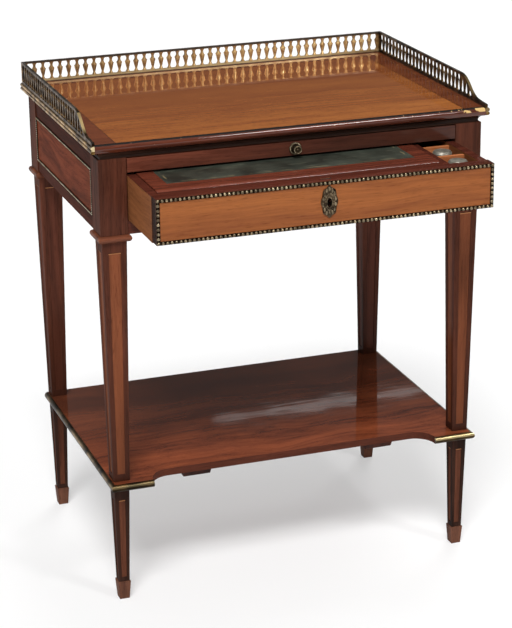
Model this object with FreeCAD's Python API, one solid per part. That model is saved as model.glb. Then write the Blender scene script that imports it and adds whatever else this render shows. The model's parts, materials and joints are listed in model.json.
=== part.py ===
import FreeCAD, Part
import math
import os

from FreeCAD import Vector

# Table, all sizes in millimetres: X to the right, front towards -Y, floor at Z = 0
TABLE_WIDTH = 628.0
TABLE_DEPTH = 436.0
TOP_HEIGHT = 760.0
STILE = 44.0

# Top board, its brass edges and the cove frame under it
TOP_THICKNESS = 14.0
TOP_FRONT_OVERHANG = 5.7
TOP_BACK_OVERHANG = 5.7
TOP_SIDE_OVERHANG = 5.6
BRASS_BACKING = 3.0
BRASS_REED = 3.0
COVE_HEIGHT = 9.3
COVE_RECESS = 3.0
COVE_WIDTH = 38.0
TOP_SCREW = 4.0
TOP_SCREW_HEAD = 8.0
TOP_SCREW_HEAD_DEPTH = 2.2
TOP_SCREW_BITE = 8.0
TOP_SCREW_SPREAD = 180.0

# Gallery
GALLERY_HEIGHT = 36.0
GALLERY_INSET = 2.4
GALLERY_SHEET = 2.6
GALLERY_RAIL = 4.4
GALLERY_BASE_HEIGHT = 4.5
GALLERY_CAP_HEIGHT = 3.5
GALLERY_PITCH = 14.7
BALUSTER_FOOT = 8.4
BALUSTER_STEM = 3.2
BALUSTER_SHOULDER = 9.6
BALUSTER_NECK = 4.0
BALUSTER_STEM_RISE = 5.0
BALUSTER_SHOULDER_RISE = 18.0
BALUSTER_NECK_RISE = 23.2
SWEEP_LENGTH = 100.0
SWEEP_TAIL = 24.0
SWEEP_TAIL_HEIGHT = 6.0
SWEEP_TIP_HEIGHT = 4.8
SWEEP_GAP_MIN = 9.0
SWEEP_GAP_TOP = 2.0
GALLERY_PIN = 1.6
GALLERY_PIN_IN_RAIL = 3.0
GALLERY_PIN_IN_TOP = 7.0
GALLERY_BACK_PINS = 5
GALLERY_SIDE_PINS = 3
GALLERY_PIN_MARGIN = 30.0

# Frieze: aprons, rail, drawer and slide heights
APRON_THICKNESS = 18.0
APRON_RECESS = 1.5
TENON_THICKNESS = 8.0
TENON_LENGTH = 20.0
TENON_SHOULDER = 14.0
RAIL_HEIGHT = 21.5
RAIL_DEPTH = 30.0
RAIL_TENON_SHOULDER = 4.0
DRAWER_FRONT_GAP = 2.0
DRAWER_FRONT_HEIGHT = 70.1
SLIDE_DRAWER_GAP = 3.1
SLIDE_FRONT_HEIGHT = 21.5
SLIDE_TOP_GAP = 1.5
SIDE_BEAD_WIDTH = 3.0
SIDE_BEAD_PROUD = 1.6
SIDE_BEAD_MARGIN = 2.0

# Legs
COLLAR_WIDTH = 53.0
COLLAR_HEIGHT = 11.0
COLLAR_ROUND = 5.2
LEG_AT_COLLAR = 39.4
LEG_AT_SHELF = 26.5
LOWER_LEG_TOP = 25.0
LOWER_LEG_ANKLE = 17.5
FOOT_HEIGHT = 31.0
FOOT_TOP = 20.8
FOOT_BOTTOM = 16.2
PANEL_DEPTH = 1.2
PANEL_BELOW_COLLAR = 18.0
PANEL_ABOVE_SHELF = 12.0
PANEL_BELOW_SHELF = 22.0
PANEL_ABOVE_FOOT = 8.0
BORDER_AT_COLLAR = 9.6
BORDER_AT_SHELF = 7.0
BORDER_UNDER_SHELF = 6.8
BORDER_AT_ANKLE = 4.6
DOWEL = 12.0
DOWEL_DEPTH = 25.0

# Undertier shelf
SHELF_TOP = 208.5
SHELF_THICKNESS = 12.0
SHELF_SIDE_MARGIN = 1.25
SHELF_FRONT_MARGIN = 10.75
SHELF_RECESS = 33.0
SHELF_BLOCK = 64.0
BATTEN_CENTRE = 158.0
BATTEN_WIDTH = 45.0
BATTEN_THICKNESS = 10.0
BATTEN_FRONT_SETBACK = 1.0
BATTEN_BACK_SETBACK = 21.0
BATTEN_CHAMFER = 7.0
BATTEN_SCREW = 4.0
BATTEN_SCREW_HEAD = 8.0
BATTEN_SCREW_HEAD_DEPTH = 2.2
BATTEN_SCREW_BITE = 7.0
BATTEN_SCREW_MARGIN = 36.0

# Runners inside the frieze
RUNNER_OVERLAP = 20.0
RUNNER_THICKNESS = 20.0
RUNNER_GUIDE_HEIGHT = 20.0
SLIDE_GUIDE_REACH = 14.0
SLIDE_GUIDE_DROP = 2.0

# Drawer
DRAWER_OPEN = 146.6
DRAWER_BACK_GAP = 16.5
DRAWER_SIDE_GAP = 1.2
DRAWER_FRONT_THICKNESS = 22.0
DRAWER_SIDE = 14.0
DRAWER_SIDE_DROP = 1.6
DRAWER_BACK = 12.0
DRAWER_BACK_HEIGHT = 46.0
DRAWER_BOTTOM = 7.0
DRAWER_BOTTOM_RAISE = 5.0
DRAWER_GROOVE = 5.0
DRAWER_TONGUE_LENGTH = 10.0
DRAWER_TONGUE_THICKNESS = 6.0
DRAWER_TONGUE_SHOULDER = 18.0
BEAD_WIDTH = 6.0
BEAD_PROUD = 2.5
LEDGE_WIDTH = 18.0
LEDGE_THICKNESS = 12.0
DIVIDER = 10.0
WELL_WIDTH = 47.5
FRONT_WELL = 55.0
REAR_WELL = 51.0
WELL_DEPTH = 38.0
WELL_FLOOR = 5.0
WELL_WALL = 6.0
WELL_WALL_DROP = 3.0
BEARER_WIDTH = 8.0
BEARER_HEIGHT = 12.0

# Writing panel with its leather
PANEL_TRAVEL = 90.0
PANEL_BACK_GAP = 4.9
PANEL_THICKNESS = 9.0
PANEL_TOP_DROP = 0.2
PANEL_SIDE_GAP = 0.8
PANEL_FRONT_GAP = 0.6
PANEL_FRAME_FRONT = 35.0
PANEL_FRAME_SIDE = 26.0
LEATHER_THICKNESS = 1.5
LEATHER_DROP = 0.3
PANEL_NOSING = 4.0

# Lock and escutcheon
LOCK_WIDTH = 44.0
LOCK_HEIGHT = 40.0
LOCK_DEPTH = 14.0
LOCK_WALL = 2.0
LOCK_TOP_DROP = 4.6
BOLT_WIDTH = 16.0
BOLT_THICKNESS = 5.0
BOLT_LENGTH = 30.0
BOLT_TOP_DROP = 0.4
BOLT_GAP = 0.4
BOLT_THROW = 6.0
BOLT_FROM_LOCK_BACK = 5.0
KEYHOLE_HEIGHT = 40.5
KEYHOLE_RADIUS = 2.6
KEYHOLE_SLOT = 2.4
KEYHOLE_DROP = 9.0
ESCUTCHEON_WIDTH = 27.0
ESCUTCHEON_HEIGHT = 50.0
ESCUTCHEON_THICKNESS = 1.6
ESCUTCHEON_LOBES = 8
ESCUTCHEON_LOBE_DEPTH = 0.05
ESCUTCHEON_CENTRE = 38.4

# Writing slide
SLIDE_FRONT_THICKNESS = 24.0
SLIDE_END_GAP = 1.0
SLIDE_BOARD_THICKNESS = 14.0
SLIDE_BOARD_RAISE = 3.3
SLIDE_BOARD_BACK_GAP = 38.5
SLIDE_BOARD_EDGE_GAP = 0.8
SLIDE_BOARD_REACH = 12.0
SLIDE_BOARD_TOP_GAP = 0.5
SLIDE_TONGUE = 6.0
SLIDE_TONGUE_THICKNESS = 5.0
BOLT_POCKET_GAP = 1.0
BOLT_POCKET_DEPTH = BOLT_THROW + BOLT_POCKET_GAP
KNOB_PLATE = 20.0
KNOB_PLATE_THICKNESS = 2.0
KNOB_NECK = 7.0
KNOB_NECK_LENGTH = 5.0
KNOB_HEAD = 14.0
KNOB_HEAD_LENGTH = 8.0
KNOB_SHANK = 5.0
KNOB_SHANK_LENGTH = 14.0

# Inkwells
INKWELL = 42.0
INKWELL_HEIGHT = 25.0
INKWELL_CORNER = 5.0
INKWELL_EDGE = 3.0
INKWELL_WALL = 4.0
INKWELL_FLOOR = 5.0
INKWELL_ROOF = 4.0
INKWELL_NECK = 24.0
INKWELL_NECK_HEIGHT = 6.0
INKWELL_MOUTH = 18.0
INK_LEVEL = 13.0
CAP_SKIRT = 28.5
CAP_WIDTH = 31.0
CAP_SKIRT_HEIGHT = 3.0
CAP_STEP = 1.0
CAP_RIM_HEIGHT = 8.0
CAP_HEIGHT = 12.5
CAP_CROWN = 22.0
CAP_GAP = 0.35
CAP_TOP_GAP = 0.8

# Clearances shared by fitted pieces
PEG_FIT = 0.05
TENON_FIT = 0.1

# Planes that follow from the sizes above
SIDE_X = TABLE_WIDTH / 2
FRONT_Y = -TABLE_DEPTH / 2
BACK_Y = TABLE_DEPTH / 2
LEG_X = SIDE_X - STILE / 2
LEG_Y = BACK_Y - STILE / 2
OPENING_X = SIDE_X - STILE
STILE_INNER_Y = BACK_Y - STILE
TOP_UNDER = TOP_HEIGHT - TOP_THICKNESS
STILE_TOP = TOP_UNDER - COVE_HEIGHT
SLIDE_TOP = STILE_TOP - SLIDE_TOP_GAP
SLIDE_UNDER = SLIDE_TOP - SLIDE_FRONT_HEIGHT
DRAWER_TOP = SLIDE_UNDER - SLIDE_DRAWER_GAP
DRAWER_UNDER = DRAWER_TOP - DRAWER_FRONT_HEIGHT
RAIL_TOP = DRAWER_UNDER - DRAWER_FRONT_GAP
APRON_UNDER = RAIL_TOP - RAIL_HEIGHT
COLLAR_UNDER = APRON_UNDER - COLLAR_HEIGHT
SHELF_UNDER = SHELF_TOP - SHELF_THICKNESS
APRON_OUT_X = SIDE_X - APRON_RECESS
APRON_IN_X = APRON_OUT_X - APRON_THICKNESS
APRON_OUT_Y = BACK_Y - APRON_RECESS
APRON_IN_Y = APRON_OUT_Y - APRON_THICKNESS
BOARD_X = SIDE_X + TOP_SIDE_OVERHANG
BOARD_FRONT = FRONT_Y - TOP_FRONT_OVERHANG
BOARD_BACK = BACK_Y + TOP_BACK_OVERHANG
TOP_X = BOARD_X + BRASS_BACKING + BRASS_REED
GALLERY_X = TOP_X - GALLERY_INSET
GALLERY_BACK = BOARD_BACK - GALLERY_INSET
GALLERY_TIP = BOARD_FRONT + GALLERY_INSET
SHELF_TRIM = SHELF_THICKNESS / 2
SHELF_SIDE = LEG_X + LEG_AT_SHELF / 2 + SHELF_SIDE_MARGIN
SHELF_BACK = LEG_Y + LEG_AT_SHELF / 2
SHELF_FRONT = LEG_Y + LEG_AT_SHELF / 2 + SHELF_FRONT_MARGIN
BATTEN_FRONT = SHELF_FRONT - SHELF_RECESS - BATTEN_FRONT_SETBACK
BATTEN_BACK = SHELF_BACK - BATTEN_BACK_SETBACK
DRAWER_X = OPENING_X - DRAWER_SIDE_GAP
DRAWER_IN_X = DRAWER_X - DRAWER_SIDE
FRONT_FACE_Y = FRONT_Y + BEAD_PROUD
FRONT_BACK_Y = FRONT_FACE_Y + DRAWER_FRONT_THICKNESS
DRAWER_END_Y = APRON_IN_Y - DRAWER_BACK_GAP
DRAWER_BACK_Y = DRAWER_END_Y - DRAWER_BACK
DRAWER_SIDE_TOP = DRAWER_TOP - DRAWER_SIDE_DROP
BOTTOM_UNDER = RAIL_TOP + DRAWER_BOTTOM_RAISE
BOTTOM_TOP = BOTTOM_UNDER + DRAWER_BOTTOM
WELL_X = DRAWER_IN_X - WELL_WIDTH
DIVIDER_X = WELL_X - DIVIDER
WELL_BASE = DRAWER_SIDE_TOP - WELL_DEPTH
FRONT_WELL_END = FRONT_BACK_Y + FRONT_WELL
REAR_WELL_START = FRONT_WELL_END + WELL_WALL
REAR_WELL_END = REAR_WELL_START + REAR_WELL
WELLS_END = REAR_WELL_END + WELL_WALL
LEDGE_Y = FRONT_BACK_Y + LEDGE_WIDTH
PANEL_TOP = DRAWER_TOP - PANEL_TOP_DROP
PANEL_UNDER = PANEL_TOP - PANEL_THICKNESS
PANEL_FRONT_Y = LEDGE_Y + PANEL_FRONT_GAP
PANEL_BACK_Y = DRAWER_BACK_Y - PANEL_TRAVEL - PANEL_BACK_GAP
PANEL_LEFT_X = -DRAWER_IN_X + PANEL_SIDE_GAP
PANEL_RIGHT_X = DIVIDER_X - PANEL_SIDE_GAP
LOCK_FRONT_Y = FRONT_BACK_Y - LOCK_DEPTH
LOCK_TOP = DRAWER_TOP - LOCK_TOP_DROP
LOCK_UNDER = LOCK_TOP - LOCK_HEIGHT
BOLT_BACK_Y = FRONT_BACK_Y - BOLT_FROM_LOCK_BACK
BOLT_FRONT_Y = BOLT_BACK_Y - BOLT_THICKNESS
BOLT_TOP = DRAWER_TOP - BOLT_TOP_DROP
KEYHOLE_Z = DRAWER_UNDER + KEYHOLE_HEIGHT
SLIDE_BOARD_UNDER = SLIDE_UNDER + SLIDE_BOARD_RAISE
SLIDE_BOARD_TOP = SLIDE_BOARD_UNDER + SLIDE_BOARD_THICKNESS
SLIDE_BACK_Y = FRONT_Y + SLIDE_FRONT_THICKNESS
SLIDE_BOARD_END_Y = APRON_IN_Y - SLIDE_BOARD_BACK_GAP
SLIDE_GUIDE_X = OPENING_X - SLIDE_GUIDE_REACH
SLIDE_BOARD_X = SLIDE_GUIDE_X + SLIDE_BOARD_REACH
SLIDE_Z = SLIDE_UNDER + SLIDE_FRONT_HEIGHT / 2
WELL_CENTRE_X = WELL_X + WELL_WIDTH / 2
FRONT_WELL_Y = FRONT_BACK_Y + FRONT_WELL / 2
REAR_WELL_Y = REAR_WELL_START + REAR_WELL / 2


def block(x0, x1, y0, y1, z0, z1):
    """A board or block between two corners."""
    return Part.makeBox(x1 - x0, y1 - y0, z1 - z0, Vector(x0, y0, z0))


def plate(points, along):
    """A flat outline of straight lines, thickened along a vector."""
    corners = [Vector(*point) for point in points]
    return Part.Face(Part.makePolygon(corners + corners[:1])).extrude(Vector(*along))


def square(x, y, z, side):
    """A level square outline about a centre."""
    half = side / 2
    turns = ((-half, -half), (half, -half), (half, half), (-half, half), (-half, -half))
    return Part.makePolygon([Vector(x + a, y + b, z) for a, b in turns])


def tapered(x, y, z0, side0, z1, side1):
    """A square shaft that changes width between two heights."""
    return Part.makeLoft([square(x, y, z0, side0), square(x, y, z1, side1)], True, True)


def peg(x, y, z0, z1, diameter):
    """An upright round peg or hole."""
    return Part.makeCylinder(diameter / 2, z1 - z0, Vector(x, y, z0))


def turned(profile, base, axis):
    """A turned piece: points of radius and height, spun about an axis from a base point."""
    corners = [Vector(radius, 0, height) for radius, height in profile]
    face = Part.Face(Part.makePolygon(corners + corners[:1]))
    solid = face.revolve(Vector(0, 0, 0), Vector(0, 0, 1), 360)
    solid.Placement = FreeCAD.Placement(Vector(*base), FreeCAD.Rotation(Vector(0, 0, 1), Vector(*axis)))
    return solid


def mirrored(shape):
    """The same piece on the other side of the table."""
    return shape.mirror(Vector(0, 0, 0), Vector(1, 0, 0))


def at_side(shape, side):
    """A piece drawn at the right, kept there or moved to the left."""
    return shape if side == "right" else mirrored(shape)


def opened(shape):
    """A drawer piece drawn with the drawer shut, pulled out as photographed."""
    moved = shape.copy()
    moved.translate(Vector(0, -DRAWER_OPEN, 0))
    return moved


def save(name, shape):
    """One piece, or one group of equal pieces, in its own file."""
    solids = shape.Solids
    kept = solids[0] if len(solids) == 1 else Part.makeCompound(solids)
    kept.exportStep(f"parts/{name}.step")


os.makedirs("parts", exist_ok=True)
LEG_PLACES = {
    "front_left": (-LEG_X, -LEG_Y),
    "front_right": (LEG_X, -LEG_Y),
    "back_left": (-LEG_X, LEG_Y),
    "back_right": (LEG_X, LEG_Y),
}


# Top board with a half-round nosing along the front, and the screws that hold it
def screw(x, y, z, shank, head, head_depth, length):
    """A countersunk screw pointing up from its head at z."""
    profile = ((0, 0), (head / 2, 0), (shank / 2, head_depth), (shank / 2, length), (0, length))
    return turned(profile, (x, y, z), (0, 0, 1))


def screw_hole(x, y, z, shank, head, head_depth, length):
    """The countersunk hole that the screw fills."""
    return screw(x, y, z, shank + 2 * PEG_FIT, head + 2 * PEG_FIT, head_depth, length + PEG_FIT)


frame_side_x = (APRON_IN_X + SIDE_X - COVE_RECESS - COVE_WIDTH) / 2
frame_front_y = FRONT_Y + COVE_RECESS + COVE_WIDTH / 2
frame_back_y = (APRON_IN_Y + BACK_Y - COVE_RECESS - COVE_WIDTH) / 2
screw_places = [(frame_side_x, 0.0), (-frame_side_x, 0.0)]
for screw_x in (-TOP_SCREW_SPREAD, TOP_SCREW_SPREAD):
    screw_places += [(screw_x, frame_front_y), (screw_x, frame_back_y)]
screw_size = (TOP_SCREW, TOP_SCREW_HEAD, TOP_SCREW_HEAD_DEPTH, COVE_HEIGHT + TOP_SCREW_BITE)
top_screw_holes = [screw_hole(x, y, STILE_TOP, *screw_size) for x, y in screw_places]
save("top_screws", Part.makeCompound([screw(x, y, STILE_TOP, *screw_size) for x, y in screw_places]))

pin_y = GALLERY_BACK - GALLERY_RAIL / 2
pin_x = GALLERY_X - GALLERY_RAIL / 2
pin_reach = pin_x - GALLERY_PIN_MARGIN
pin_steps = [2 * index / (GALLERY_BACK_PINS - 1) - 1 for index in range(GALLERY_BACK_PINS)]
back_pins = [(step * pin_reach, pin_y) for step in pin_steps]
pin_front = GALLERY_TIP + GALLERY_PIN_MARGIN
pin_back = GALLERY_BACK - GALLERY_PIN_MARGIN
pin_run = (pin_back - pin_front) / (GALLERY_SIDE_PINS - 1)
side_pins = [(pin_x, pin_front + index * pin_run) for index in range(GALLERY_SIDE_PINS)]
all_pins = back_pins + side_pins + [(-x, y) for x, y in side_pins]


def gallery_pin(x, y, diameter, slack):
    """A brass pin, or its hole, from the top board up into the gallery's base rail."""
    low = TOP_HEIGHT - GALLERY_PIN_IN_TOP - slack
    high = TOP_HEIGHT + GALLERY_PIN_IN_RAIL + slack
    return peg(x, y, low, high, diameter)


def gallery_holes(places):
    """The pin holes at the given places."""
    return [gallery_pin(x, y, GALLERY_PIN + 2 * PEG_FIT, PEG_FIT) for x, y in places]


save("gallery_pins", Part.makeCompound([gallery_pin(x, y, GALLERY_PIN, 0.0) for x, y in all_pins]))

nosing = TOP_THICKNESS / 2
nosing_low = Vector(-BOARD_X, BOARD_FRONT + nosing, TOP_UNDER)
nosing_tip = Vector(-BOARD_X, BOARD_FRONT, TOP_UNDER + nosing)
nosing_high = Vector(-BOARD_X, BOARD_FRONT + nosing, TOP_HEIGHT)
back_high = Vector(-BOARD_X, BOARD_BACK, TOP_HEIGHT)
back_low = Vector(-BOARD_X, BOARD_BACK, TOP_UNDER)
board_edges = [
    Part.Arc(nosing_low, nosing_tip, nosing_high).toShape(),
    Part.makeLine(nosing_high, back_high),
    Part.makeLine(back_high, back_low),
    Part.makeLine(back_low, nosing_low),
]
top_board = Part.Face(Part.Wire(board_edges)).extrude(Vector(2 * BOARD_X, 0, 0))
save("top_board", top_board.cut(top_screw_holes + gallery_holes(back_pins)))

# Reeded brass strips along the two sides of the top
reed_top = TOP_HEIGHT
reed_mid = TOP_HEIGHT - 2 * BRASS_REED
reed_low = TOP_HEIGHT - 4 * BRASS_REED
reed_x = BOARD_X + BRASS_BACKING


def reed_point(x, z):
    """A point of the strip's profile at the front of the top."""
    return Vector(x, BOARD_FRONT, z)


strip_edges = [
    Part.makeLine(reed_point(BOARD_X, reed_low), reed_point(BOARD_X, reed_top)),
    Part.makeLine(reed_point(BOARD_X, reed_top), reed_point(reed_x, reed_top)),
]
for upper, lower in ((reed_top, reed_mid), (reed_mid, reed_low)):
    crest = reed_point(reed_x + BRASS_REED, (upper + lower) / 2)
    strip_edges.append(Part.Arc(reed_point(reed_x, upper), crest, reed_point(reed_x, lower)).toShape())
strip_edges.append(Part.makeLine(reed_point(reed_x, reed_low), reed_point(BOARD_X, reed_low)))
brass_strip = Part.Face(Part.Wire(strip_edges)).extrude(Vector(0, BOARD_BACK - BOARD_FRONT, 0))
brass_strip = brass_strip.cut(gallery_holes(side_pins))
for side in ("left", "right"):
    save(f"top_brass_{side}", at_side(brass_strip, side))


# Cove frame between the top board and the stiles, four mitred lengths
def cove_length(reach, outer):
    """One length of cove along X at the front, before its mitres are cut."""
    low_y = -outer + COVE_RECESS
    high_y = -outer
    inner_y = low_y + COVE_WIDTH
    hollow = COVE_HEIGHT / 2
    low = Vector(-reach, low_y, STILE_TOP)
    high = Vector(-reach, high_y, TOP_UNDER)
    hollow_mid = Vector(-reach, low_y + COVE_RECESS / 4, STILE_TOP + hollow)
    inner_high = Vector(-reach, inner_y, TOP_UNDER)
    inner_low = Vector(-reach, inner_y, STILE_TOP)
    edges = [
        Part.Arc(low, hollow_mid, high).toShape(),
        Part.makeLine(high, inner_high),
        Part.makeLine(inner_high, inner_low),
        Part.makeLine(inner_low, low),
    ]
    return Part.Face(Part.Wire(edges)).extrude(Vector(2 * reach, 0, 0))


def mitred(length, reach, outer):
    """The length with both ends cut at 45 degrees."""
    depth = COVE_RECESS + COVE_WIDTH
    inner = depth - outer
    corners = ((-reach, -outer), (reach, -outer), (reach - depth, inner), (depth - reach, inner))
    wedge = plate([(x, y, STILE_TOP) for x, y in corners], (0, 0, COVE_HEIGHT))
    return length.common(wedge)


front_cove = mitred(cove_length(SIDE_X, BACK_Y), SIDE_X, BACK_Y)
side_cove = mitred(cove_length(BACK_Y, SIDE_X), BACK_Y, SIDE_X)
coves = []
for cove, turn in ((front_cove, 0), (side_cove, 90), (front_cove, 180), (side_cove, 270)):
    placed = cove.copy()
    placed.rotate(Vector(0, 0, 0), Vector(0, 0, 1), turn)
    coves += placed.cut(top_screw_holes).Solids
save("top_cove_frame", Part.makeCompound(coves))


# Pierced brass gallery, drawn flat with u along the run and v upwards
def flat(u, v):
    """A point of the flat gallery drawing."""
    return Vector(u, 0, v)


GAP_HALF = GALLERY_PITCH / 2
GAP_FOOT = GAP_HALF - BALUSTER_FOOT / 2
GAP_STEM = GAP_HALF - BALUSTER_STEM / 2
GAP_SHOULDER = GAP_HALF - BALUSTER_SHOULDER / 2
GAP_NECK = GAP_HALF - BALUSTER_NECK / 2
GAP_LOW = GALLERY_BASE_HEIGHT
GAP_HIGH = GALLERY_HEIGHT - GALLERY_CAP_HEIGHT
GAP_STEM_V = GAP_LOW + BALUSTER_STEM_RISE
GAP_SHOULDER_V = GAP_LOW + BALUSTER_SHOULDER_RISE
GAP_NECK_V = GAP_LOW + BALUSTER_NECK_RISE


def foot_arc(u, side):
    """The curve from a baluster's foot up to its thin stem, on one side of a gap."""
    low = flat(u + side * GAP_FOOT, GAP_LOW)
    middle = flat(u + side * (GAP_FOOT + 3 * GAP_STEM) / 4, GAP_LOW + BALUSTER_STEM_RISE / 2)
    high = flat(u + side * GAP_STEM, GAP_STEM_V)
    return Part.Arc(low, middle, high).toShape()


def full_gap(u):
    """The opening between two balusters of full height."""
    right_stem = flat(u + GAP_STEM, GAP_STEM_V)
    right_shoulder = flat(u + GAP_SHOULDER, GAP_SHOULDER_V)
    right_top = flat(u + GAP_FOOT, GAP_HIGH)
    left_top = flat(u - GAP_FOOT, GAP_HIGH)
    left_shoulder = flat(u - GAP_SHOULDER, GAP_SHOULDER_V)
    left_stem = flat(u - GAP_STEM, GAP_STEM_V)
    edges = [
        Part.makeLine(flat(u - GAP_FOOT, GAP_LOW), flat(u + GAP_FOOT, GAP_LOW)),
        foot_arc(u, 1),
        Part.makeLine(right_stem, right_shoulder),
        Part.Arc(right_shoulder, flat(u + GAP_NECK, GAP_NECK_V), right_top).toShape(),
        Part.makeLine(right_top, left_top),
        Part.Arc(left_top, flat(u - GAP_NECK, GAP_NECK_V), left_shoulder).toShape(),
        Part.makeLine(left_shoulder, left_stem),
        foot_arc(u, -1),
    ]
    return Part.Wire(Part.__sortEdges__(edges))


def short_gap(u, low_top, high_top):
    """An opening under the swept rail, its head sloping with the rail."""
    left_head = flat(u - SWEEP_GAP_TOP, low_top)
    right_head = flat(u + SWEEP_GAP_TOP, high_top)
    edges = [
        Part.makeLine(flat(u - GAP_FOOT, GAP_LOW), flat(u + GAP_FOOT, GAP_LOW)),
        foot_arc(u, 1),
        Part.makeLine(flat(u + GAP_STEM, GAP_STEM_V), right_head),
        Part.makeLine(right_head, left_head),
        Part.makeLine(left_head, flat(u - GAP_STEM, GAP_STEM_V)),
        foot_arc(u, -1),
    ]
    return Part.Wire(Part.__sortEdges__(edges))


def thickened(wires, width):
    """A flat gallery outline and its openings given a width, centred in the base rail."""
    face = Part.makeFace(wires, "Part::FaceMakerBullseye")
    face.translate(Vector(0, (GALLERY_RAIL - width) / 2, 0))
    return face.extrude(Vector(0, width, 0))


def strip(u0, u1, v0, v1):
    """A straight length of rail."""
    return block(u0, u1, 0, GALLERY_RAIL, v0, v1)


back_run = 2 * GALLERY_X
back_count = int((back_run - 2 * GALLERY_RAIL) / GALLERY_PITCH)
back_start = (back_run - (back_count - 1) * GALLERY_PITCH) / 2
back_outline = Part.makePolygon(
    [flat(0, 0), flat(back_run, 0), flat(back_run, GALLERY_HEIGHT), flat(0, GALLERY_HEIGHT), flat(0, 0)]
)
back_gaps = [full_gap(back_start + index * GALLERY_PITCH) for index in range(back_count)]
back_sheet = thickened([back_outline] + back_gaps, GALLERY_SHEET)
back_rails = [strip(0, back_run, 0, GALLERY_BASE_HEIGHT), strip(0, back_run, GAP_HIGH, GALLERY_HEIGHT)]
gallery_back = back_sheet.fuse(back_rails)
gallery_back.translate(Vector(-GALLERY_X, GALLERY_BACK - GALLERY_RAIL, TOP_HEIGHT))
save("gallery_back", gallery_back.cut(gallery_holes(back_pins)))

side_run = GALLERY_BACK - GALLERY_RAIL - GALLERY_TIP
bend = (SWEEP_LENGTH + SWEEP_TAIL) / 2


def sweep_curve(drop):
    """The S-shaped edge of the swept rail, lowered by a drop."""
    curve = Part.BezierCurve()
    curve.setPoles([
        flat(SWEEP_TAIL, SWEEP_TAIL_HEIGHT - drop),
        flat(bend, SWEEP_TAIL_HEIGHT - drop),
        flat(bend, GALLERY_HEIGHT - drop),
        flat(SWEEP_LENGTH, GALLERY_HEIGHT - drop),
    ])
    return curve


def sweep_height(u):
    """Height of the rail's upper edge above the top at a place along the sweep."""
    if u >= SWEEP_LENGTH:
        return GALLERY_HEIGHT
    if u <= SWEEP_TAIL:
        return SWEEP_TAIL_HEIGHT
    curve = sweep_curve(0)
    low, high = 0.0, 1.0
    for step in range(30):
        middle = (low + high) / 2
        if curve.value(middle).x < u:
            low = middle
        else:
            high = middle
    return curve.value(low).z


def rail_outline(drop):
    """Edges of the upper line from the tip to the back."""
    tail_end = flat(SWEEP_TAIL, SWEEP_TAIL_HEIGHT - drop)
    top_start = flat(SWEEP_LENGTH, GALLERY_HEIGHT - drop)
    return [
        Part.makeLine(flat(0, SWEEP_TIP_HEIGHT - drop), tail_end),
        sweep_curve(drop).toShape(),
        Part.makeLine(top_start, flat(side_run, GALLERY_HEIGHT - drop)),
    ]


sheet_edges = rail_outline(0) + [
    Part.makeLine(flat(side_run, GALLERY_HEIGHT), flat(side_run, 0)),
    Part.makeLine(flat(side_run, 0), flat(0, 0)),
    Part.makeLine(flat(0, 0), flat(0, SWEEP_TIP_HEIGHT)),
]
side_gaps = []
gap_u = side_run - GAP_HALF - BALUSTER_FOOT / 4
while gap_u > SWEEP_TAIL:
    low_top = sweep_height(gap_u - SWEEP_GAP_TOP) - GALLERY_CAP_HEIGHT - SWEEP_GAP_TOP / 2
    high_top = sweep_height(gap_u + SWEEP_GAP_TOP) - GALLERY_CAP_HEIGHT - SWEEP_GAP_TOP / 2
    if sweep_height(gap_u - GAP_HALF) >= GALLERY_HEIGHT - SWEEP_GAP_TOP / 4:
        side_gaps.append(full_gap(gap_u))
    elif low_top > GAP_LOW + SWEEP_GAP_MIN:
        side_gaps.append(short_gap(gap_u, low_top, high_top))
    gap_u -= GALLERY_PITCH
sheet_outline = Part.Wire(Part.__sortEdges__(sheet_edges))
side_sheet = thickened([sheet_outline] + side_gaps, GALLERY_SHEET)
cap_edges = rail_outline(0) + rail_outline(GALLERY_CAP_HEIGHT) + [
    Part.makeLine(flat(0, SWEEP_TIP_HEIGHT), flat(0, SWEEP_TIP_HEIGHT - GALLERY_CAP_HEIGHT)),
    Part.makeLine(flat(side_run, GALLERY_HEIGHT), flat(side_run, GAP_HIGH)),
]
side_cap = thickened([Part.Wire(Part.__sortEdges__(cap_edges))], GALLERY_RAIL)
side_base = strip(0, side_run, 0, GALLERY_BASE_HEIGHT)
gallery_side = side_sheet.fuse([side_cap, side_base])
gallery_side.rotate(Vector(0, 0, 0), Vector(0, 0, 1), 90)
gallery_side.translate(Vector(GALLERY_X, GALLERY_TIP, TOP_HEIGHT))
gallery_side = gallery_side.cut(gallery_holes(side_pins))
for side in ("left", "right"):
    save(f"gallery_{side}", at_side(gallery_side, side))


# Aprons and front rail with their tenons
def side_tenon(side, slack):
    """Tenons of a side apron at both ends, or their mortises when given slack."""
    mid_x = APRON_OUT_X - APRON_THICKNESS / 2
    half = TENON_THICKNESS / 2 + slack
    reach = STILE_INNER_Y + TENON_LENGTH + slack
    low = APRON_UNDER + TENON_SHOULDER - slack
    high = STILE_TOP - TENON_SHOULDER + slack
    return at_side(block(mid_x - half, mid_x + half, -reach, reach, low, high), side)


def back_tenon(slack):
    """Tenons of the back apron at both ends, or their mortises when given slack."""
    mid_y = APRON_OUT_Y - APRON_THICKNESS / 2
    half = TENON_THICKNESS / 2 + slack
    reach = OPENING_X + TENON_LENGTH + slack
    low = APRON_UNDER + TENON_SHOULDER - slack
    high = STILE_TOP - TENON_SHOULDER + slack
    return block(-reach, reach, mid_y - half, mid_y + half, low, high)


def rail_tenon(slack):
    """Tenons of the front rail at both ends, or their mortises when given slack."""
    mid_y = FRONT_Y + RAIL_DEPTH / 2
    half = TENON_THICKNESS / 2 + slack
    reach = OPENING_X + TENON_LENGTH + slack
    low = APRON_UNDER + RAIL_TENON_SHOULDER - slack
    high = RAIL_TOP - RAIL_TENON_SHOULDER + slack
    return block(-reach, reach, mid_y - half, mid_y + half, low, high)


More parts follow.
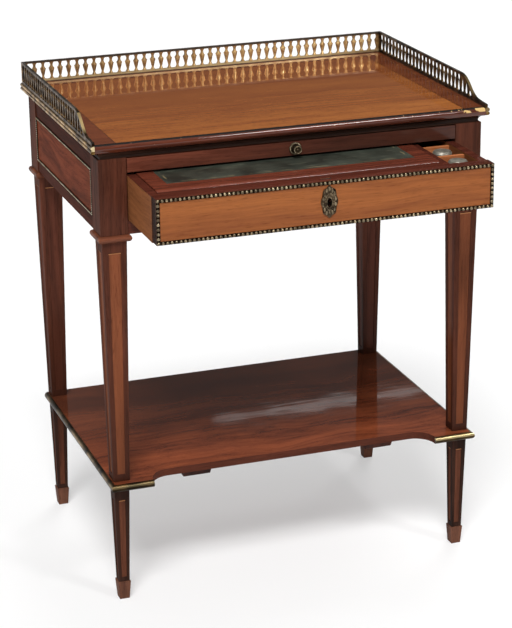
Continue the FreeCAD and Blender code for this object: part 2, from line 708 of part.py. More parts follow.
for side in ("left", "right"):
    apron = block(APRON_IN_X, APRON_OUT_X, -STILE_INNER_Y, STILE_INNER_Y, APRON_UNDER, STILE_TOP)
    apron = at_side(apron, side).fuse(side_tenon(side, 0.0)).removeSplitter()
    save(f"side_apron_{side}", apron)
back_apron = block(-OPENING_X, OPENING_X, APRON_IN_Y, APRON_OUT_Y, APRON_UNDER, STILE_TOP)
save("back_apron", back_apron.fuse(back_tenon(0.0)).removeSplitter())
front_rail = block(-OPENING_X, OPENING_X, FRONT_Y, FRONT_Y + RAIL_DEPTH, APRON_UNDER, RAIL_TOP)
save("front_rail", front_rail.fuse(rail_tenon(0.0)).removeSplitter())

# Beaded brass frames let on to the side aprons
bead_y = STILE_INNER_Y - SIDE_BEAD_MARGIN
bead_out = APRON_OUT_X + SIDE_BEAD_PROUD
bead_frame = block(APRON_OUT_X, bead_out, -bead_y, bead_y, RAIL_TOP, DRAWER_TOP + SIDE_BEAD_MARGIN)
bead_hole = block(
    APRON_OUT_X, bead_out, SIDE_BEAD_WIDTH - bead_y, bead_y - SIDE_BEAD_WIDTH,
    RAIL_TOP + SIDE_BEAD_WIDTH, DRAWER_TOP + SIDE_BEAD_MARGIN - SIDE_BEAD_WIDTH,
)
for side in ("left", "right"):
    save(f"side_bead_{side}", at_side(bead_frame.cut(bead_hole), side))


# Legs: a square stile above, a tapered shaft with sunk panels below
def width_at(z, z0, width0, z1, width1):
    """Width of a straight taper at a height."""
    return width0 + (width1 - width0) * (z - z0) / (z1 - z0)


def sunk_panels(x, y, low, high):
    """Cutters for the sunk panel on each face; low and high are height, shaft width and border."""
    rings = []
    for z, width, border in (low, high):
        half = width / 2 - border
        floor = width / 2 - PANEL_DEPTH
        clear = width / 2 + PANEL_DEPTH
        corners = ((-half, floor), (half, floor), (half, clear), (-half, clear), (-half, floor))
        rings.append(Part.makePolygon([Vector(a, b, z) for a, b in corners]))
    cutters = []
    for quarter in range(4):
        cutter = Part.makeLoft(rings, True, True)
        cutter.rotate(Vector(0, 0, 0), Vector(0, 0, 1), 90 * quarter)
        cutter.translate(Vector(x, y, 0))
        cutters.append(cutter)
    return cutters


upper_taper = (SHELF_TOP, LEG_AT_SHELF, COLLAR_UNDER, LEG_AT_COLLAR)
upper_low = SHELF_TOP + PANEL_ABOVE_SHELF
upper_high = COLLAR_UNDER - PANEL_BELOW_COLLAR
upper_panel_low = (upper_low, width_at(upper_low, *upper_taper), BORDER_AT_SHELF)
upper_panel_high = (upper_high, width_at(upper_high, *upper_taper), BORDER_AT_COLLAR)
lower_taper = (FOOT_HEIGHT, LOWER_LEG_ANKLE, SHELF_UNDER, LOWER_LEG_TOP)
lower_low = FOOT_HEIGHT + PANEL_ABOVE_FOOT
lower_high = SHELF_UNDER - PANEL_BELOW_SHELF
lower_panel_low = (lower_low, width_at(lower_low, *lower_taper), BORDER_AT_ANKLE)
lower_panel_high = (lower_high, width_at(lower_high, *lower_taper), BORDER_UNDER_SHELF)
mortises = [
    side_tenon("left", TENON_FIT), side_tenon("right", TENON_FIT),
    back_tenon(TENON_FIT), rail_tenon(TENON_FIT),
]
collars = []
dowels = []
half_stile = STILE / 2
half_neck = LEG_AT_COLLAR / 2
half_collar = COLLAR_WIDTH / 2
dowel_low = SHELF_UNDER - DOWEL_DEPTH
dowel_high = SHELF_TOP + DOWEL_DEPTH
for place, (leg_x, leg_y) in LEG_PLACES.items():
    stile = block(
        leg_x - half_stile, leg_x + half_stile, leg_y - half_stile, leg_y + half_stile,
        APRON_UNDER, STILE_TOP
    )
    neck = block(
        leg_x - half_neck, leg_x + half_neck, leg_y - half_neck, leg_y + half_neck,
        COLLAR_UNDER, APRON_UNDER
    )
    shaft = tapered(leg_x, leg_y, *upper_taper)
    socket = peg(leg_x, leg_y, dowel_low - PEG_FIT, dowel_high + PEG_FIT, DOWEL + 2 * PEG_FIT)
    leg = stile.fuse([neck, shaft]).removeSplitter()
    leg = leg.cut(mortises + sunk_panels(leg_x, leg_y, upper_panel_low, upper_panel_high) + [socket])
    save(f"leg_{place}", leg)
    ring = block(
        leg_x - half_collar, leg_x + half_collar, leg_y - half_collar, leg_y + half_collar,
        COLLAR_UNDER, APRON_UNDER,
    )
    level_edges = [edge for edge in ring.Edges if abs(edge.Vertexes[0].Z - edge.Vertexes[1].Z) < PEG_FIT]
    collars.append(ring.makeFillet(COLLAR_ROUND, level_edges).cut(neck))
    ankle = tapered(leg_x, leg_y, *lower_taper)
    foot = tapered(leg_x, leg_y, 0.0, FOOT_BOTTOM, FOOT_HEIGHT, FOOT_TOP)
    panels = sunk_panels(leg_x, leg_y, lower_panel_low, lower_panel_high)
    lower_leg = ankle.fuse(foot).cut(panels + [socket])
    save(f"lower_leg_{place}", lower_leg)
    dowels.append(peg(leg_x, leg_y, dowel_low, dowel_high, DOWEL))
save("leg_collars", Part.makeCompound(collars))
save("leg_dowels", Part.makeCompound(dowels))

# Undertier shelf: square back, hollowed front between two corner blocks
shelf_recess_y = -SHELF_FRONT + SHELF_RECESS
block_x = SHELF_SIDE - SHELF_BLOCK
hollow_x = block_x - SHELF_RECESS
hollow_half = SHELF_RECESS * math.sqrt(0.5)


def shelf_point(x, y):
    """A point of the shelf's outline on its underside."""
    return Vector(x, y, SHELF_UNDER)


def shelf_hollow(side):
    """The hollow curve from the recessed edge out to a corner block."""
    inner = shelf_point(side * hollow_x, shelf_recess_y)
    middle = shelf_point(side * (hollow_x + hollow_half), -SHELF_FRONT + hollow_half)
    outer = shelf_point(side * block_x, -SHELF_FRONT)
    return Part.Arc(inner, middle, outer).toShape()


shelf_edges = [shelf_hollow(1), shelf_hollow(-1)]
shelf_corners = [
    (block_x, -SHELF_FRONT), (SHELF_SIDE, -SHELF_FRONT), (SHELF_SIDE, SHELF_BACK),
    (-SHELF_SIDE, SHELF_BACK), (-SHELF_SIDE, -SHELF_FRONT), (-block_x, -SHELF_FRONT),
]
for first, second in zip(shelf_corners, shelf_corners[1:]):
    shelf_edges.append(Part.makeLine(shelf_point(*first), shelf_point(*second)))
shelf_edges.append(
    Part.makeLine(shelf_point(hollow_x, shelf_recess_y), shelf_point(-hollow_x, shelf_recess_y))
)
shelf_outline = Part.Wire(Part.__sortEdges__(shelf_edges))
shelf = Part.Face(shelf_outline).extrude(Vector(0, 0, SHELF_THICKNESS))
batten_screw_places = []
for batten_x in (-BATTEN_CENTRE, BATTEN_CENTRE):
    first_row = BATTEN_SCREW_MARGIN - BATTEN_FRONT
    last_row = BATTEN_BACK - BATTEN_SCREW_MARGIN
    for screw_row in (first_row, (first_row + last_row) / 2, last_row):
        batten_screw_places.append((batten_x, screw_row))
batten_under = SHELF_UNDER - BATTEN_THICKNESS
batten_screw_size = (
    BATTEN_SCREW, BATTEN_SCREW_HEAD, BATTEN_SCREW_HEAD_DEPTH, BATTEN_THICKNESS + BATTEN_SCREW_BITE,
)
batten_holes = [screw_hole(x, y, batten_under, *batten_screw_size) for x, y in batten_screw_places]
batten_screws = [screw(x, y, batten_under, *batten_screw_size) for x, y in batten_screw_places]
save("batten_screws", Part.makeCompound(batten_screws))
dowel_holes = []
for leg_x, leg_y in LEG_PLACES.values():
    dowel_holes.append(peg(leg_x, leg_y, dowel_low, dowel_high, DOWEL + 2 * PEG_FIT))
save("shelf_board", shelf.cut(dowel_holes + batten_holes))

# Half-round brass trim round each end of the shelf
trim_path = Part.makePolygon([
    Vector(SHELF_SIDE, SHELF_BACK, SHELF_UNDER + SHELF_TRIM),
    Vector(SHELF_SIDE, -SHELF_FRONT, SHELF_UNDER + SHELF_TRIM),
    Vector(block_x, -SHELF_FRONT, SHELF_UNDER + SHELF_TRIM),
])
trim_low = Vector(SHELF_SIDE, SHELF_BACK, SHELF_UNDER)
trim_high = Vector(SHELF_SIDE, SHELF_BACK, SHELF_TOP)
trim_crest = Vector(SHELF_SIDE + SHELF_TRIM, SHELF_BACK, SHELF_UNDER + SHELF_TRIM)
trim_round = Part.Arc(trim_low, trim_crest, trim_high).toShape()
trim_profile = Part.Wire([trim_round, Part.makeLine(trim_high, trim_low)])
shelf_trim = trim_path.makePipeShell([trim_profile], True, False, 1)
for side in ("left", "right"):
    save(f"shelf_trim_{side}", at_side(shelf_trim, side))

# Battens under the shelf with chamfered ends
batten_profile = [
    (-BATTEN_FRONT, SHELF_UNDER), (-BATTEN_FRONT + BATTEN_CHAMFER, batten_under),
    (BATTEN_BACK - BATTEN_CHAMFER, batten_under), (BATTEN_BACK, SHELF_UNDER),
]
batten_start = BATTEN_CENTRE - BATTEN_WIDTH / 2
batten = plate([(batten_start, y, z) for y, z in batten_profile], (BATTEN_WIDTH, 0, 0)).cut(batten_holes)
save("shelf_battens", Part.makeCompound([batten, mirrored(batten)]))

# Drawer runners with their guides, and the grooved guides of the writing slide
runner = block(
    OPENING_X - RUNNER_OVERLAP, APRON_IN_X, -STILE_INNER_Y, STILE_INNER_Y,
    RAIL_TOP - RUNNER_THICKNESS, RAIL_TOP
)
runner_guide = block(
    OPENING_X, APRON_IN_X, -STILE_INNER_Y, STILE_INNER_Y, RAIL_TOP, RAIL_TOP + RUNNER_GUIDE_HEIGHT
)
runner = runner.fuse(runner_guide).removeSplitter()
slide_guide = block(
    SLIDE_GUIDE_X, APRON_IN_X, -STILE_INNER_Y, STILE_INNER_Y, SLIDE_UNDER - SLIDE_GUIDE_DROP, STILE_TOP
)
slide_groove = block(
    SLIDE_GUIDE_X, SLIDE_BOARD_X + SLIDE_BOARD_EDGE_GAP, -STILE_INNER_Y, STILE_INNER_Y,
    SLIDE_BOARD_UNDER, SLIDE_BOARD_TOP + SLIDE_BOARD_TOP_GAP,
)
slide_guide = slide_guide.cut(slide_groove)
for side in ("left", "right"):
    save(f"drawer_runner_{side}", at_side(runner, side))
    save(f"slide_guide_{side}", at_side(slide_guide, side))

# Writing slide: front strip, board and knob
slide_x = OPENING_X - SLIDE_END_GAP
tongue_mid = (SLIDE_BOARD_UNDER + SLIDE_BOARD_TOP) / 2


def slide_tongue(slack):
    """The board's front tongue, or its groove when given slack."""
    half = SLIDE_TONGUE_THICKNESS / 2 + slack
    reach = SLIDE_BOARD_X + slack
    return block(
        -reach, reach, SLIDE_BACK_Y - SLIDE_TONGUE - slack, SLIDE_BACK_Y,
        tongue_mid - half, tongue_mid + half
    )


slide_board = block(
    -SLIDE_BOARD_X, SLIDE_BOARD_X, SLIDE_BACK_Y, SLIDE_BOARD_END_Y,
    SLIDE_BOARD_UNDER, SLIDE_BOARD_TOP,
)
save("slide_board", slide_board.fuse(slide_tongue(0.0)).removeSplitter())
pocket_x = BOLT_WIDTH / 2 + BOLT_POCKET_GAP
bolt_pocket = block(
    -pocket_x, pocket_x, BOLT_FRONT_Y - BOLT_POCKET_GAP, BOLT_BACK_Y + BOLT_POCKET_GAP,
    SLIDE_UNDER, SLIDE_UNDER + BOLT_POCKET_DEPTH,
)
shank_hole = Part.makeCylinder(
    KNOB_SHANK / 2 + PEG_FIT, KNOB_SHANK_LENGTH + PEG_FIT, Vector(0, FRONT_Y, SLIDE_Z), Vector(0, 1, 0)
)
slide_front = block(-slide_x, slide_x, FRONT_Y, SLIDE_BACK_Y, SLIDE_UNDER, SLIDE_TOP)
save("slide_front", slide_front.cut([slide_tongue(TENON_FIT), bolt_pocket, shank_hole]))
knob_neck_end = KNOB_PLATE_THICKNESS + KNOB_NECK_LENGTH
knob_end = knob_neck_end + KNOB_HEAD_LENGTH
knob_profile = (
    (0, -KNOB_SHANK_LENGTH), (KNOB_SHANK / 2, -KNOB_SHANK_LENGTH), (KNOB_SHANK / 2, 0),
    (KNOB_PLATE / 2, 0), (KNOB_PLATE / 2, KNOB_PLATE_THICKNESS / 2),
    (KNOB_NECK / 2, KNOB_PLATE_THICKNESS), (KNOB_NECK / 2, knob_neck_end),
    (KNOB_HEAD / 2, knob_neck_end + KNOB_HEAD_LENGTH / 3), (KNOB_HEAD / 2, knob_end - KNOB_HEAD_LENGTH / 3),
    (KNOB_NECK / 2, knob_end), (0, knob_end),
)
save("slide_knob", turned(knob_profile, (0, FRONT_Y, SLIDE_Z), (0, -1, 0)))


# Drawer box, drawn shut and then pulled out
def side_tongues(side, slack):
    """The tongue of a drawer side let into the front, or its slot when given slack."""
    mid_x = DRAWER_X - DRAWER_SIDE / 2
    half = DRAWER_TONGUE_THICKNESS / 2 + slack
    low = DRAWER_UNDER + DRAWER_TONGUE_SHOULDER - slack
    high = DRAWER_SIDE_TOP - DRAWER_TONGUE_SHOULDER + slack
    reach_y = FRONT_BACK_Y - DRAWER_TONGUE_LENGTH - slack
    return at_side(block(mid_x - half, mid_x + half, reach_y, FRONT_BACK_Y, low, high), side)


bottom_x = DRAWER_IN_X + DRAWER_GROOVE
bottom_y = FRONT_BACK_Y - DRAWER_GROOVE
drawer_bottom = block(-bottom_x, bottom_x, bottom_y, DRAWER_END_Y, BOTTOM_UNDER, BOTTOM_TOP)
bottom_slot = block(
    -bottom_x - TENON_FIT, bottom_x + TENON_FIT, bottom_y - TENON_FIT, DRAWER_END_Y,
    BOTTOM_UNDER, BOTTOM_TOP
)
save("drawer_bottom", opened(drawer_bottom))
half_lock = LOCK_WIDTH / 2
lock_pocket = block(-half_lock, half_lock, LOCK_FRONT_Y, FRONT_BACK_Y, LOCK_UNDER, LOCK_TOP)
slot_x = BOLT_WIDTH / 2 + BOLT_GAP
bolt_slot = block(
    -slot_x, slot_x, BOLT_FRONT_Y - BOLT_GAP, BOLT_BACK_Y + BOLT_GAP, LOCK_TOP - LOCK_WALL, DRAWER_TOP
)
slot_half = KEYHOLE_SLOT / 2
keyhole_start = FRONT_FACE_Y - ESCUTCHEON_THICKNESS
keyhole_end = LOCK_FRONT_Y + LOCK_WALL
keyhole_round = Part.makeCylinder(
    KEYHOLE_RADIUS, keyhole_end - keyhole_start, Vector(0, keyhole_start, KEYHOLE_Z), Vector(0, 1, 0)
)
keyhole_slit = block(-slot_half, slot_half, keyhole_start, keyhole_end, KEYHOLE_Z - KEYHOLE_DROP, KEYHOLE_Z)
keyhole = keyhole_round.fuse(keyhole_slit).removeSplitter()
drawer_front = block(-DRAWER_X, DRAWER_X, FRONT_FACE_Y, FRONT_BACK_Y, DRAWER_UNDER, DRAWER_TOP)
front_slots = [bottom_slot, lock_pocket, bolt_slot, keyhole]
front_slots += [side_tongues("left", TENON_FIT), side_tongues("right", TENON_FIT)]
save("drawer_front", opened(drawer_front.cut(front_slots)))
for side in ("left", "right"):
    drawer_side = block(DRAWER_IN_X, DRAWER_X, FRONT_BACK_Y, DRAWER_END_Y, RAIL_TOP, DRAWER_SIDE_TOP)
    drawer_side = at_side(drawer_side, side).fuse(side_tongues(side, 0.0)).removeSplitter()
    save(f"drawer_side_{side}", opened(drawer_side.cut(bottom_slot)))
drawer_back = block(
    -DRAWER_IN_X, DRAWER_IN_X, DRAWER_BACK_Y, DRAWER_END_Y, BOTTOM_TOP, BOTTOM_TOP + DRAWER_BACK_HEIGHT
)
save("drawer_back", opened(drawer_back))

# Fittings inside the drawer: ledge, divider, bearers and the two inkwell wells
ledge = block(
    -DRAWER_IN_X, DIVIDER_X, FRONT_BACK_Y, LEDGE_Y, DRAWER_SIDE_TOP - LEDGE_THICKNESS, DRAWER_SIDE_TOP
)
save("drawer_ledge", opened(ledge))
divider = block(DIVIDER_X, WELL_X, FRONT_BACK_Y, DRAWER_BACK_Y, BOTTOM_TOP, DRAWER_SIDE_TOP)
save("drawer_divider", opened(divider))
bearer_under = PANEL_UNDER - BEARER_HEIGHT
left_bearer = block(
    -DRAWER_IN_X, -DRAWER_IN_X + BEARER_WIDTH, LEDGE_Y, DRAWER_BACK_Y, bearer_under, PANEL_UNDER
)
right_bearer = block(DIVIDER_X - BEARER_WIDTH, DIVIDER_X, LEDGE_Y, DRAWER_BACK_Y, bearer_under, PANEL_UNDER)
save("panel_bearers", opened(Part.makeCompound([left_bearer, right_bearer])))
well_floor = block(WELL_X, DRAWER_IN_X, FRONT_BACK_Y, WELLS_END, WELL_BASE - WELL_FLOOR, WELL_BASE)
save("well_floor", opened(well_floor))
well_walls = []
for wall_y in (FRONT_WELL_END, REAR_WELL_END):
    wall_top = DRAWER_SIDE_TOP - WELL_WALL_DROP
    well_walls.append(block(WELL_X, DRAWER_IN_X, wall_y, wall_y + WELL_WALL, WELL_BASE, wall_top))
save("well_walls", opened(Part.makeCompound(well_walls)))

# Beaded frame, lock and escutcheon on the drawer front
drawer_bead = block(-DRAWER_X, DRAWER_X, FRONT_Y, FRONT_FACE_Y, DRAWER_UNDER, DRAWER_TOP)
drawer_bead = drawer_bead.cut(block(
    BEAD_WIDTH - DRAWER_X, DRAWER_X - BEAD_WIDTH, FRONT_Y, FRONT_FACE_Y,
    DRAWER_UNDER + BEAD_WIDTH, DRAWER_TOP - BEAD_WIDTH,
))
save("drawer_bead", opened(drawer_bead))
lock_case = block(-half_lock, half_lock, LOCK_FRONT_Y, FRONT_BACK_Y, LOCK_UNDER, LOCK_TOP)
lock_space = block(
    -half_lock + LOCK_WALL, half_lock - LOCK_WALL, LOCK_FRONT_Y + LOCK_WALL, FRONT_BACK_Y - LOCK_WALL,
    LOCK_UNDER + LOCK_WALL, LOCK_TOP - LOCK_WALL,
)
save("lock_case", opened(lock_case.cut([lock_space, bolt_slot, keyhole])))
lock_bolt = block(
    -BOLT_WIDTH / 2, BOLT_WIDTH / 2, BOLT_FRONT_Y, BOLT_BACK_Y, BOLT_TOP - BOLT_LENGTH, BOLT_TOP
)
save("lock_bolt", opened(lock_bolt))
outline_points = []
outline_steps = 8 * ESCUTCHEON_LOBES
escutcheon_z = DRAWER_UNDER + ESCUTCHEON_CENTRE
for step in range(outline_steps):
    angle = 2 * math.pi * step / outline_steps
    swell = 1 - ESCUTCHEON_LOBE_DEPTH * (1 - math.cos(ESCUTCHEON_LOBES * angle))
    outline_points.append(Vector(
        ESCUTCHEON_WIDTH / 2 * swell * math.cos(angle), FRONT_FACE_Y,
        escutcheon_z + ESCUTCHEON_HEIGHT / 2 * swell * math.sin(angle),
    ))
outline_curve = Part.BSplineCurve()
outline_curve.interpolate(outline_points, PeriodicFlag=True)
escutcheon = Part.Face(Part.Wire(outline_curve.toShape())).extrude(Vector(0, -ESCUTCHEON_THICKNESS, 0))
save("escutcheon", opened(escutcheon.cut(keyhole)))

# Writing panel: a framed board with a sunk leather
panel = block(PANEL_LEFT_X, PANEL_RIGHT_X, PANEL_FRONT_Y, PANEL_BACK_Y, PANEL_UNDER, PANEL_TOP)
front_top_edges = []
for edge in panel.Edges:
    ends = edge.Vertexes
    level = all(abs(end.Z - PANEL_TOP) < PEG_FIT and abs(end.Y - PANEL_FRONT_Y) < PEG_FIT for end in ends)
    if level:
        front_top_edges.append(edge)
panel = panel.makeFillet(PANEL_NOSING, front_top_edges)
leather_x0 = PANEL_LEFT_X + PANEL_FRAME_SIDE
leather_x1 = PANEL_RIGHT_X - PANEL_FRAME_SIDE
leather_y0 = PANEL_FRONT_Y + PANEL_FRAME_FRONT
leather_y1 = PANEL_BACK_Y - PANEL_FRAME_SIDE
leather_top = PANEL_TOP - LEATHER_DROP
leather_under = leather_top - LEATHER_THICKNESS
recess = block(leather_x0, leather_x1, leather_y0, leather_y1, leather_under, PANEL_TOP)
save("writing_panel", opened(panel.cut(recess)))
leather = block(leather_x0, leather_x1, leather_y0, leather_y1, leather_under, leather_top)
save("writing_leather", opened(leather))


# Inkwells: square glass with a short neck, the ink inside and a lift-off cap
def upright(shape):
    """The upright edges of a square block."""
    return [edge for edge in shape.Edges if abs(edge.Vertexes[0].Z - edge.Vertexes[1].Z) > INKWELL_EDGE]


def glass_space(inset, height):
    """The hollow of an inkwell about its own centre, shrunk at the sides by an inset."""
    half = INKWELL / 2 - INKWELL_WALL - inset
    space = block(-half, half, -half, half, INKWELL_FLOOR, INKWELL_FLOOR + height)
    return space.makeFillet(INKWELL_CORNER - inset, upright(space))


half_glass = INKWELL / 2
glass = block(-half_glass, half_glass, -half_glass, half_glass, 0, INKWELL_HEIGHT)
glass = glass.makeFillet(INKWELL_CORNER, upright(glass))
top_face = max(glass.Faces, key=lambda face: face.CenterOfMass.z)
glass = glass.makeFillet(INKWELL_EDGE, top_face.Edges)
neck_top = INKWELL_HEIGHT + INKWELL_NECK_HEIGHT
glass = glass.fuse(peg(0, 0, INKWELL_HEIGHT, neck_top, INKWELL_NECK))
glass_hollow = glass_space(0.0, INKWELL_HEIGHT - INKWELL_FLOOR - INKWELL_ROOF)
glass = glass.cut([glass_hollow, peg(0, 0, INKWELL_FLOOR, neck_top, INKWELL_MOUTH)])
ink = glass_space(PEG_FIT, INK_LEVEL)
cap_bore = INKWELL_NECK / 2 + CAP_GAP
cap_roof = INKWELL_NECK_HEIGHT + CAP_TOP_GAP
cap_profile = (
    (cap_bore, 0), (CAP_SKIRT / 2, 0), (CAP_SKIRT / 2, CAP_SKIRT_HEIGHT),
    (CAP_WIDTH / 2, CAP_SKIRT_HEIGHT + CAP_STEP), (CAP_WIDTH / 2, CAP_RIM_HEIGHT),
    (CAP_CROWN / 2, CAP_HEIGHT), (0, CAP_HEIGHT), (0, cap_roof), (cap_bore, cap_roof),
)
for place, well_y in (("front", FRONT_WELL_Y), ("rear", REAR_WELL_Y)):
    seat = Vector(WELL_CENTRE_X, well_y - DRAWER_OPEN, WELL_BASE)
    for name, shape in (("inkwell", glass), ("ink", ink)):
        placed = shape.copy()
        placed.translate(seat)
        save(f"{name}_{place}", placed)
    cap = turned(cap_profile, (seat.x, seat.y, seat.z + INKWELL_HEIGHT), (0, 0, 1))
    save(f"inkwell_cap_{place}", cap)
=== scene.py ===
import json
import math

import bpy
from mathutils import Matrix, Vector

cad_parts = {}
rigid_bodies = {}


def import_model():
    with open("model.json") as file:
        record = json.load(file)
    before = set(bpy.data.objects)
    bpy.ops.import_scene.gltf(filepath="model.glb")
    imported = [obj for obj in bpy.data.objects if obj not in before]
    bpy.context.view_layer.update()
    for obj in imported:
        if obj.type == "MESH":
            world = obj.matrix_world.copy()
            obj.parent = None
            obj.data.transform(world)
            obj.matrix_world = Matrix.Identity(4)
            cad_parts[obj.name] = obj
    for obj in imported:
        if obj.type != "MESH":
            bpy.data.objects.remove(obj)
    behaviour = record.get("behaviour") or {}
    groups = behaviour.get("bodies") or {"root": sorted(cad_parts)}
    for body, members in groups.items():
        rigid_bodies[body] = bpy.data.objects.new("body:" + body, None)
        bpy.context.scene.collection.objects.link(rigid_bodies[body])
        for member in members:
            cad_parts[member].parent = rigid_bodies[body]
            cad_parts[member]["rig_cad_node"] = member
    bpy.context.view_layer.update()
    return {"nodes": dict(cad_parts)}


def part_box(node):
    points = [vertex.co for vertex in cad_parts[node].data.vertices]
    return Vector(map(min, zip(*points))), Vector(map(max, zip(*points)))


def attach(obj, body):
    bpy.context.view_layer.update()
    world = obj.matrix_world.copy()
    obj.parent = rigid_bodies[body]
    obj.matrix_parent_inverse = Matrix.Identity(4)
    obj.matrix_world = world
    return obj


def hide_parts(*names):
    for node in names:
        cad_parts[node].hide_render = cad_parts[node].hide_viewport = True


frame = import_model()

# Lower legs: four short square tapers of solid mahogany under the shelf, ending in spade feet.
# Each face has a sunk panel of redder wood inside a near-black border.
CORNERS = ("front_left", "front_right", "back_left", "back_right")
LEG_X = 0.292
LEG_Y = 0.196
LOWER_TOP_Z = 0.1965
LOWER_PANEL_TOP_Z = 0.1738
ANKLE_Z = 0.031
FOOT_TOP_Z = 0.0315
LOWER_TOP_HALF = 0.0125
ANKLE_HALF = 0.00875
PANEL_SUNK = 0.0012
PANEL_SLACK = 0.00024
X, Y, Z = 0, 1, 2
MERGED = 0.00001
COLLAPSED = 0.000005
FLAT_TURN = math.radians(0.5)
ARRIS_TURN = math.radians(35)
SMOOTH_TURN = math.radians(40)


def linear(hex_colour):
    """An sRGB hex colour as linear red, green, blue and full alpha."""
    shares = [int(hex_colour[i:i + 2], 16) / 255 for i in (0, 2, 4)]
    return [s / 12.92 if s <= 0.04045 else ((s + 0.055) / 1.055) ** 2.4 for s in shares] + [1.0]


def add(tree, kind, inputs, out=0, **settings):
    """Adds a shader node and gives one output; an input that is a socket is linked, any other is set."""
    made = tree.nodes.new("ShaderNode" + kind)
    for name, value in settings.items():
        setattr(made, name, value)
    for key, value in inputs.items():
        if isinstance(value, bpy.types.NodeSocket):
            tree.links.new(value, made.inputs[key])
        else:
            made.inputs[key].default_value = value
    return made.outputs[out]


def axes_of(tree):
    """The place on the piece along x, y and z, in metres from the middle of the object on the floor."""
    return add(tree, "SeparateXYZ", {0: add(tree, "TexCoord", {}, "Object")}).node.outputs


# Wood grain wanders over a hand's breadth, and its figure is some twenty times as long as it is wide.
# Pores are about 0.2 mm wide; they are drawn 1 mm wide so that they show.
GRAIN_DRIFT = 0.16
GRAIN_SQUEEZE = 0.045
PORE = 0.001


def wood_colour(tree, pale, deep, grain, streak=0.006, figure=0.03, sway=0.01):
    """Cut wood along the grain axis: broad figure, fine streaks and dark pores, sized in metres.

    Sway is how far the grain wanders to the side.
    """
    place = add(tree, "TexCoord", {}, "Object")
    drift = add(tree, "TexNoise", {"Vector": place, "Scale": 1 / GRAIN_DRIFT, "Detail": 1.0}, 1)
    drift = add(tree, "VectorMath", {0: drift, 1: (0.5, 0.5, 0.5)}, operation="SUBTRACT")
    drift = add(tree, "VectorMath", {0: drift, "Scale": sway}, operation="SCALE")
    place = add(tree, "VectorMath", {0: place, 1: drift}, operation="ADD")
    along = [1.0, 1.0, 1.0]
    along[grain] = GRAIN_SQUEEZE
    flow = add(tree, "Mapping", {"Vector": place, "Scale": along})
    broad = add(tree, "TexNoise", {"Vector": flow, "Scale": 1 / figure, "Detail": 3.0, "Distortion": 0.8})
    fine = add(tree, "TexNoise", {"Vector": flow, "Scale": 1 / streak, "Detail": 5.0, "Roughness": 0.65})
    share = add(tree, "Mix", {0: 0.5, 2: broad, 3: fine})
    share = add(tree, "MapRange", {0: share, "From Min": 0.36, "From Max": 0.64})
    body = add(tree, "Mix", {0: share, 6: linear(deep), 7: linear(pale)}, 2, data_type="RGBA")
    pores = add(tree, "TexNoise", {"Vector": flow, "Scale": 1 / PORE, "Detail": 1.0})
    pores = add(tree, "MapRange", {0: pores, "From Min": 0.58, "From Max": 0.78, "To Max": 0.55})
    return add(tree, "Mix", {0: pores, 6: body, 7: linear(deep)}, 2, data_type="RGBA", blend_type="MULTIPLY")


def new_material(name, looks):
    """A new material with its node tree and its shader, which has these looks all over."""
    material = bpy.data.materials.new(name)
    material.use_nodes = True
    shader = material.node_tree.nodes["Principled BSDF"]
    for key, value in looks.items():
        shader.inputs[key].default_value = value
    return material, material.node_tree, shader


def polished(name, pale, deep, grain, coat, roughness=0.4, coat_roughness=0.2, **sizes):
    """A wood finish: the wood that wood_colour draws, and over it a clear coat of shellac polish."""
    material, tree, shader = new_material(name, {"Roughness": roughness, "Specular IOR Level": 0.0,
                                                 "Coat Weight": coat, "Coat Roughness": coat_roughness})
    tree.links.new(wood_colour(tree, pale, deep, grain, **sizes), shader.inputs["Base Color"])
    return material


def tint(material, share, colour):
    """Lays a colour, as hex or as a socket, over the material's own colour by that share."""
    tree = material.node_tree
    base = tree.nodes["Principled BSDF"].inputs["Base Color"]
    over = linear(colour) if isinstance(colour, str) else colour
    mixed = add(tree, "Mix", {0: share, 6: base.links[0].from_socket, 7: over}, 2, data_type="RGBA")
    tree.links.new(mixed, base)


def pick(piece):
    """Selects one piece alone and makes it the active one."""
    bpy.ops.object.select_all(action="DESELECT")
    piece.select_set(True)
    bpy.context.view_layer.objects.active = piece


def edit_all():
    """Opens the active piece for editing, with all of it selected."""
    bpy.ops.object.mode_set(mode="EDIT")
    bpy.ops.mesh.select_all(action="SELECT")


def softened(node, body, finish, arris):
    """A copy of a CAD piece with its arrises rubbed round to that width, which stands for that piece."""
    pick(frame["nodes"][node])
    bpy.ops.object.duplicate()
    piece = bpy.context.active_object
    piece.name = node + "_rubbed"
    del piece["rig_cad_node"]
    edit_all()
    bpy.ops.mesh.customdata_custom_splitnormals_clear()
    bpy.ops.mesh.remove_doubles(threshold=MERGED)
    bpy.ops.mesh.dissolve_limited(angle_limit=FLAT_TURN)
    bpy.ops.object.mode_set(mode="OBJECT")
    rounding = piece.modifiers.new("arris", "BEVEL")
    rounding.width = arris
    rounding.segments = 2
    rounding.angle_limit = ARRIS_TURN
    bpy.ops.object.modifier_apply(modifier="arris")
    edit_all()
    bpy.ops.mesh.remove_doubles(threshold=COLLAPSED)
    bpy.ops.mesh.dissolve_degenerate(threshold=COLLAPSED)
    bpy.ops.object.mode_set(mode="OBJECT")
    bpy.ops.object.shade_smooth_by_angle(angle=SMOOTH_TURN)
    flat = piece.modifiers.new("flat", "WEIGHTED_NORMAL")
    flat.weight = 100
    flat.keep_sharp = True
    bpy.ops.object.modifier_apply(modifier="flat")
    piece.data.materials.clear()
    piece.data.materials.append(finish)
    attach(piece, body)
    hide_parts(node)
    return piece


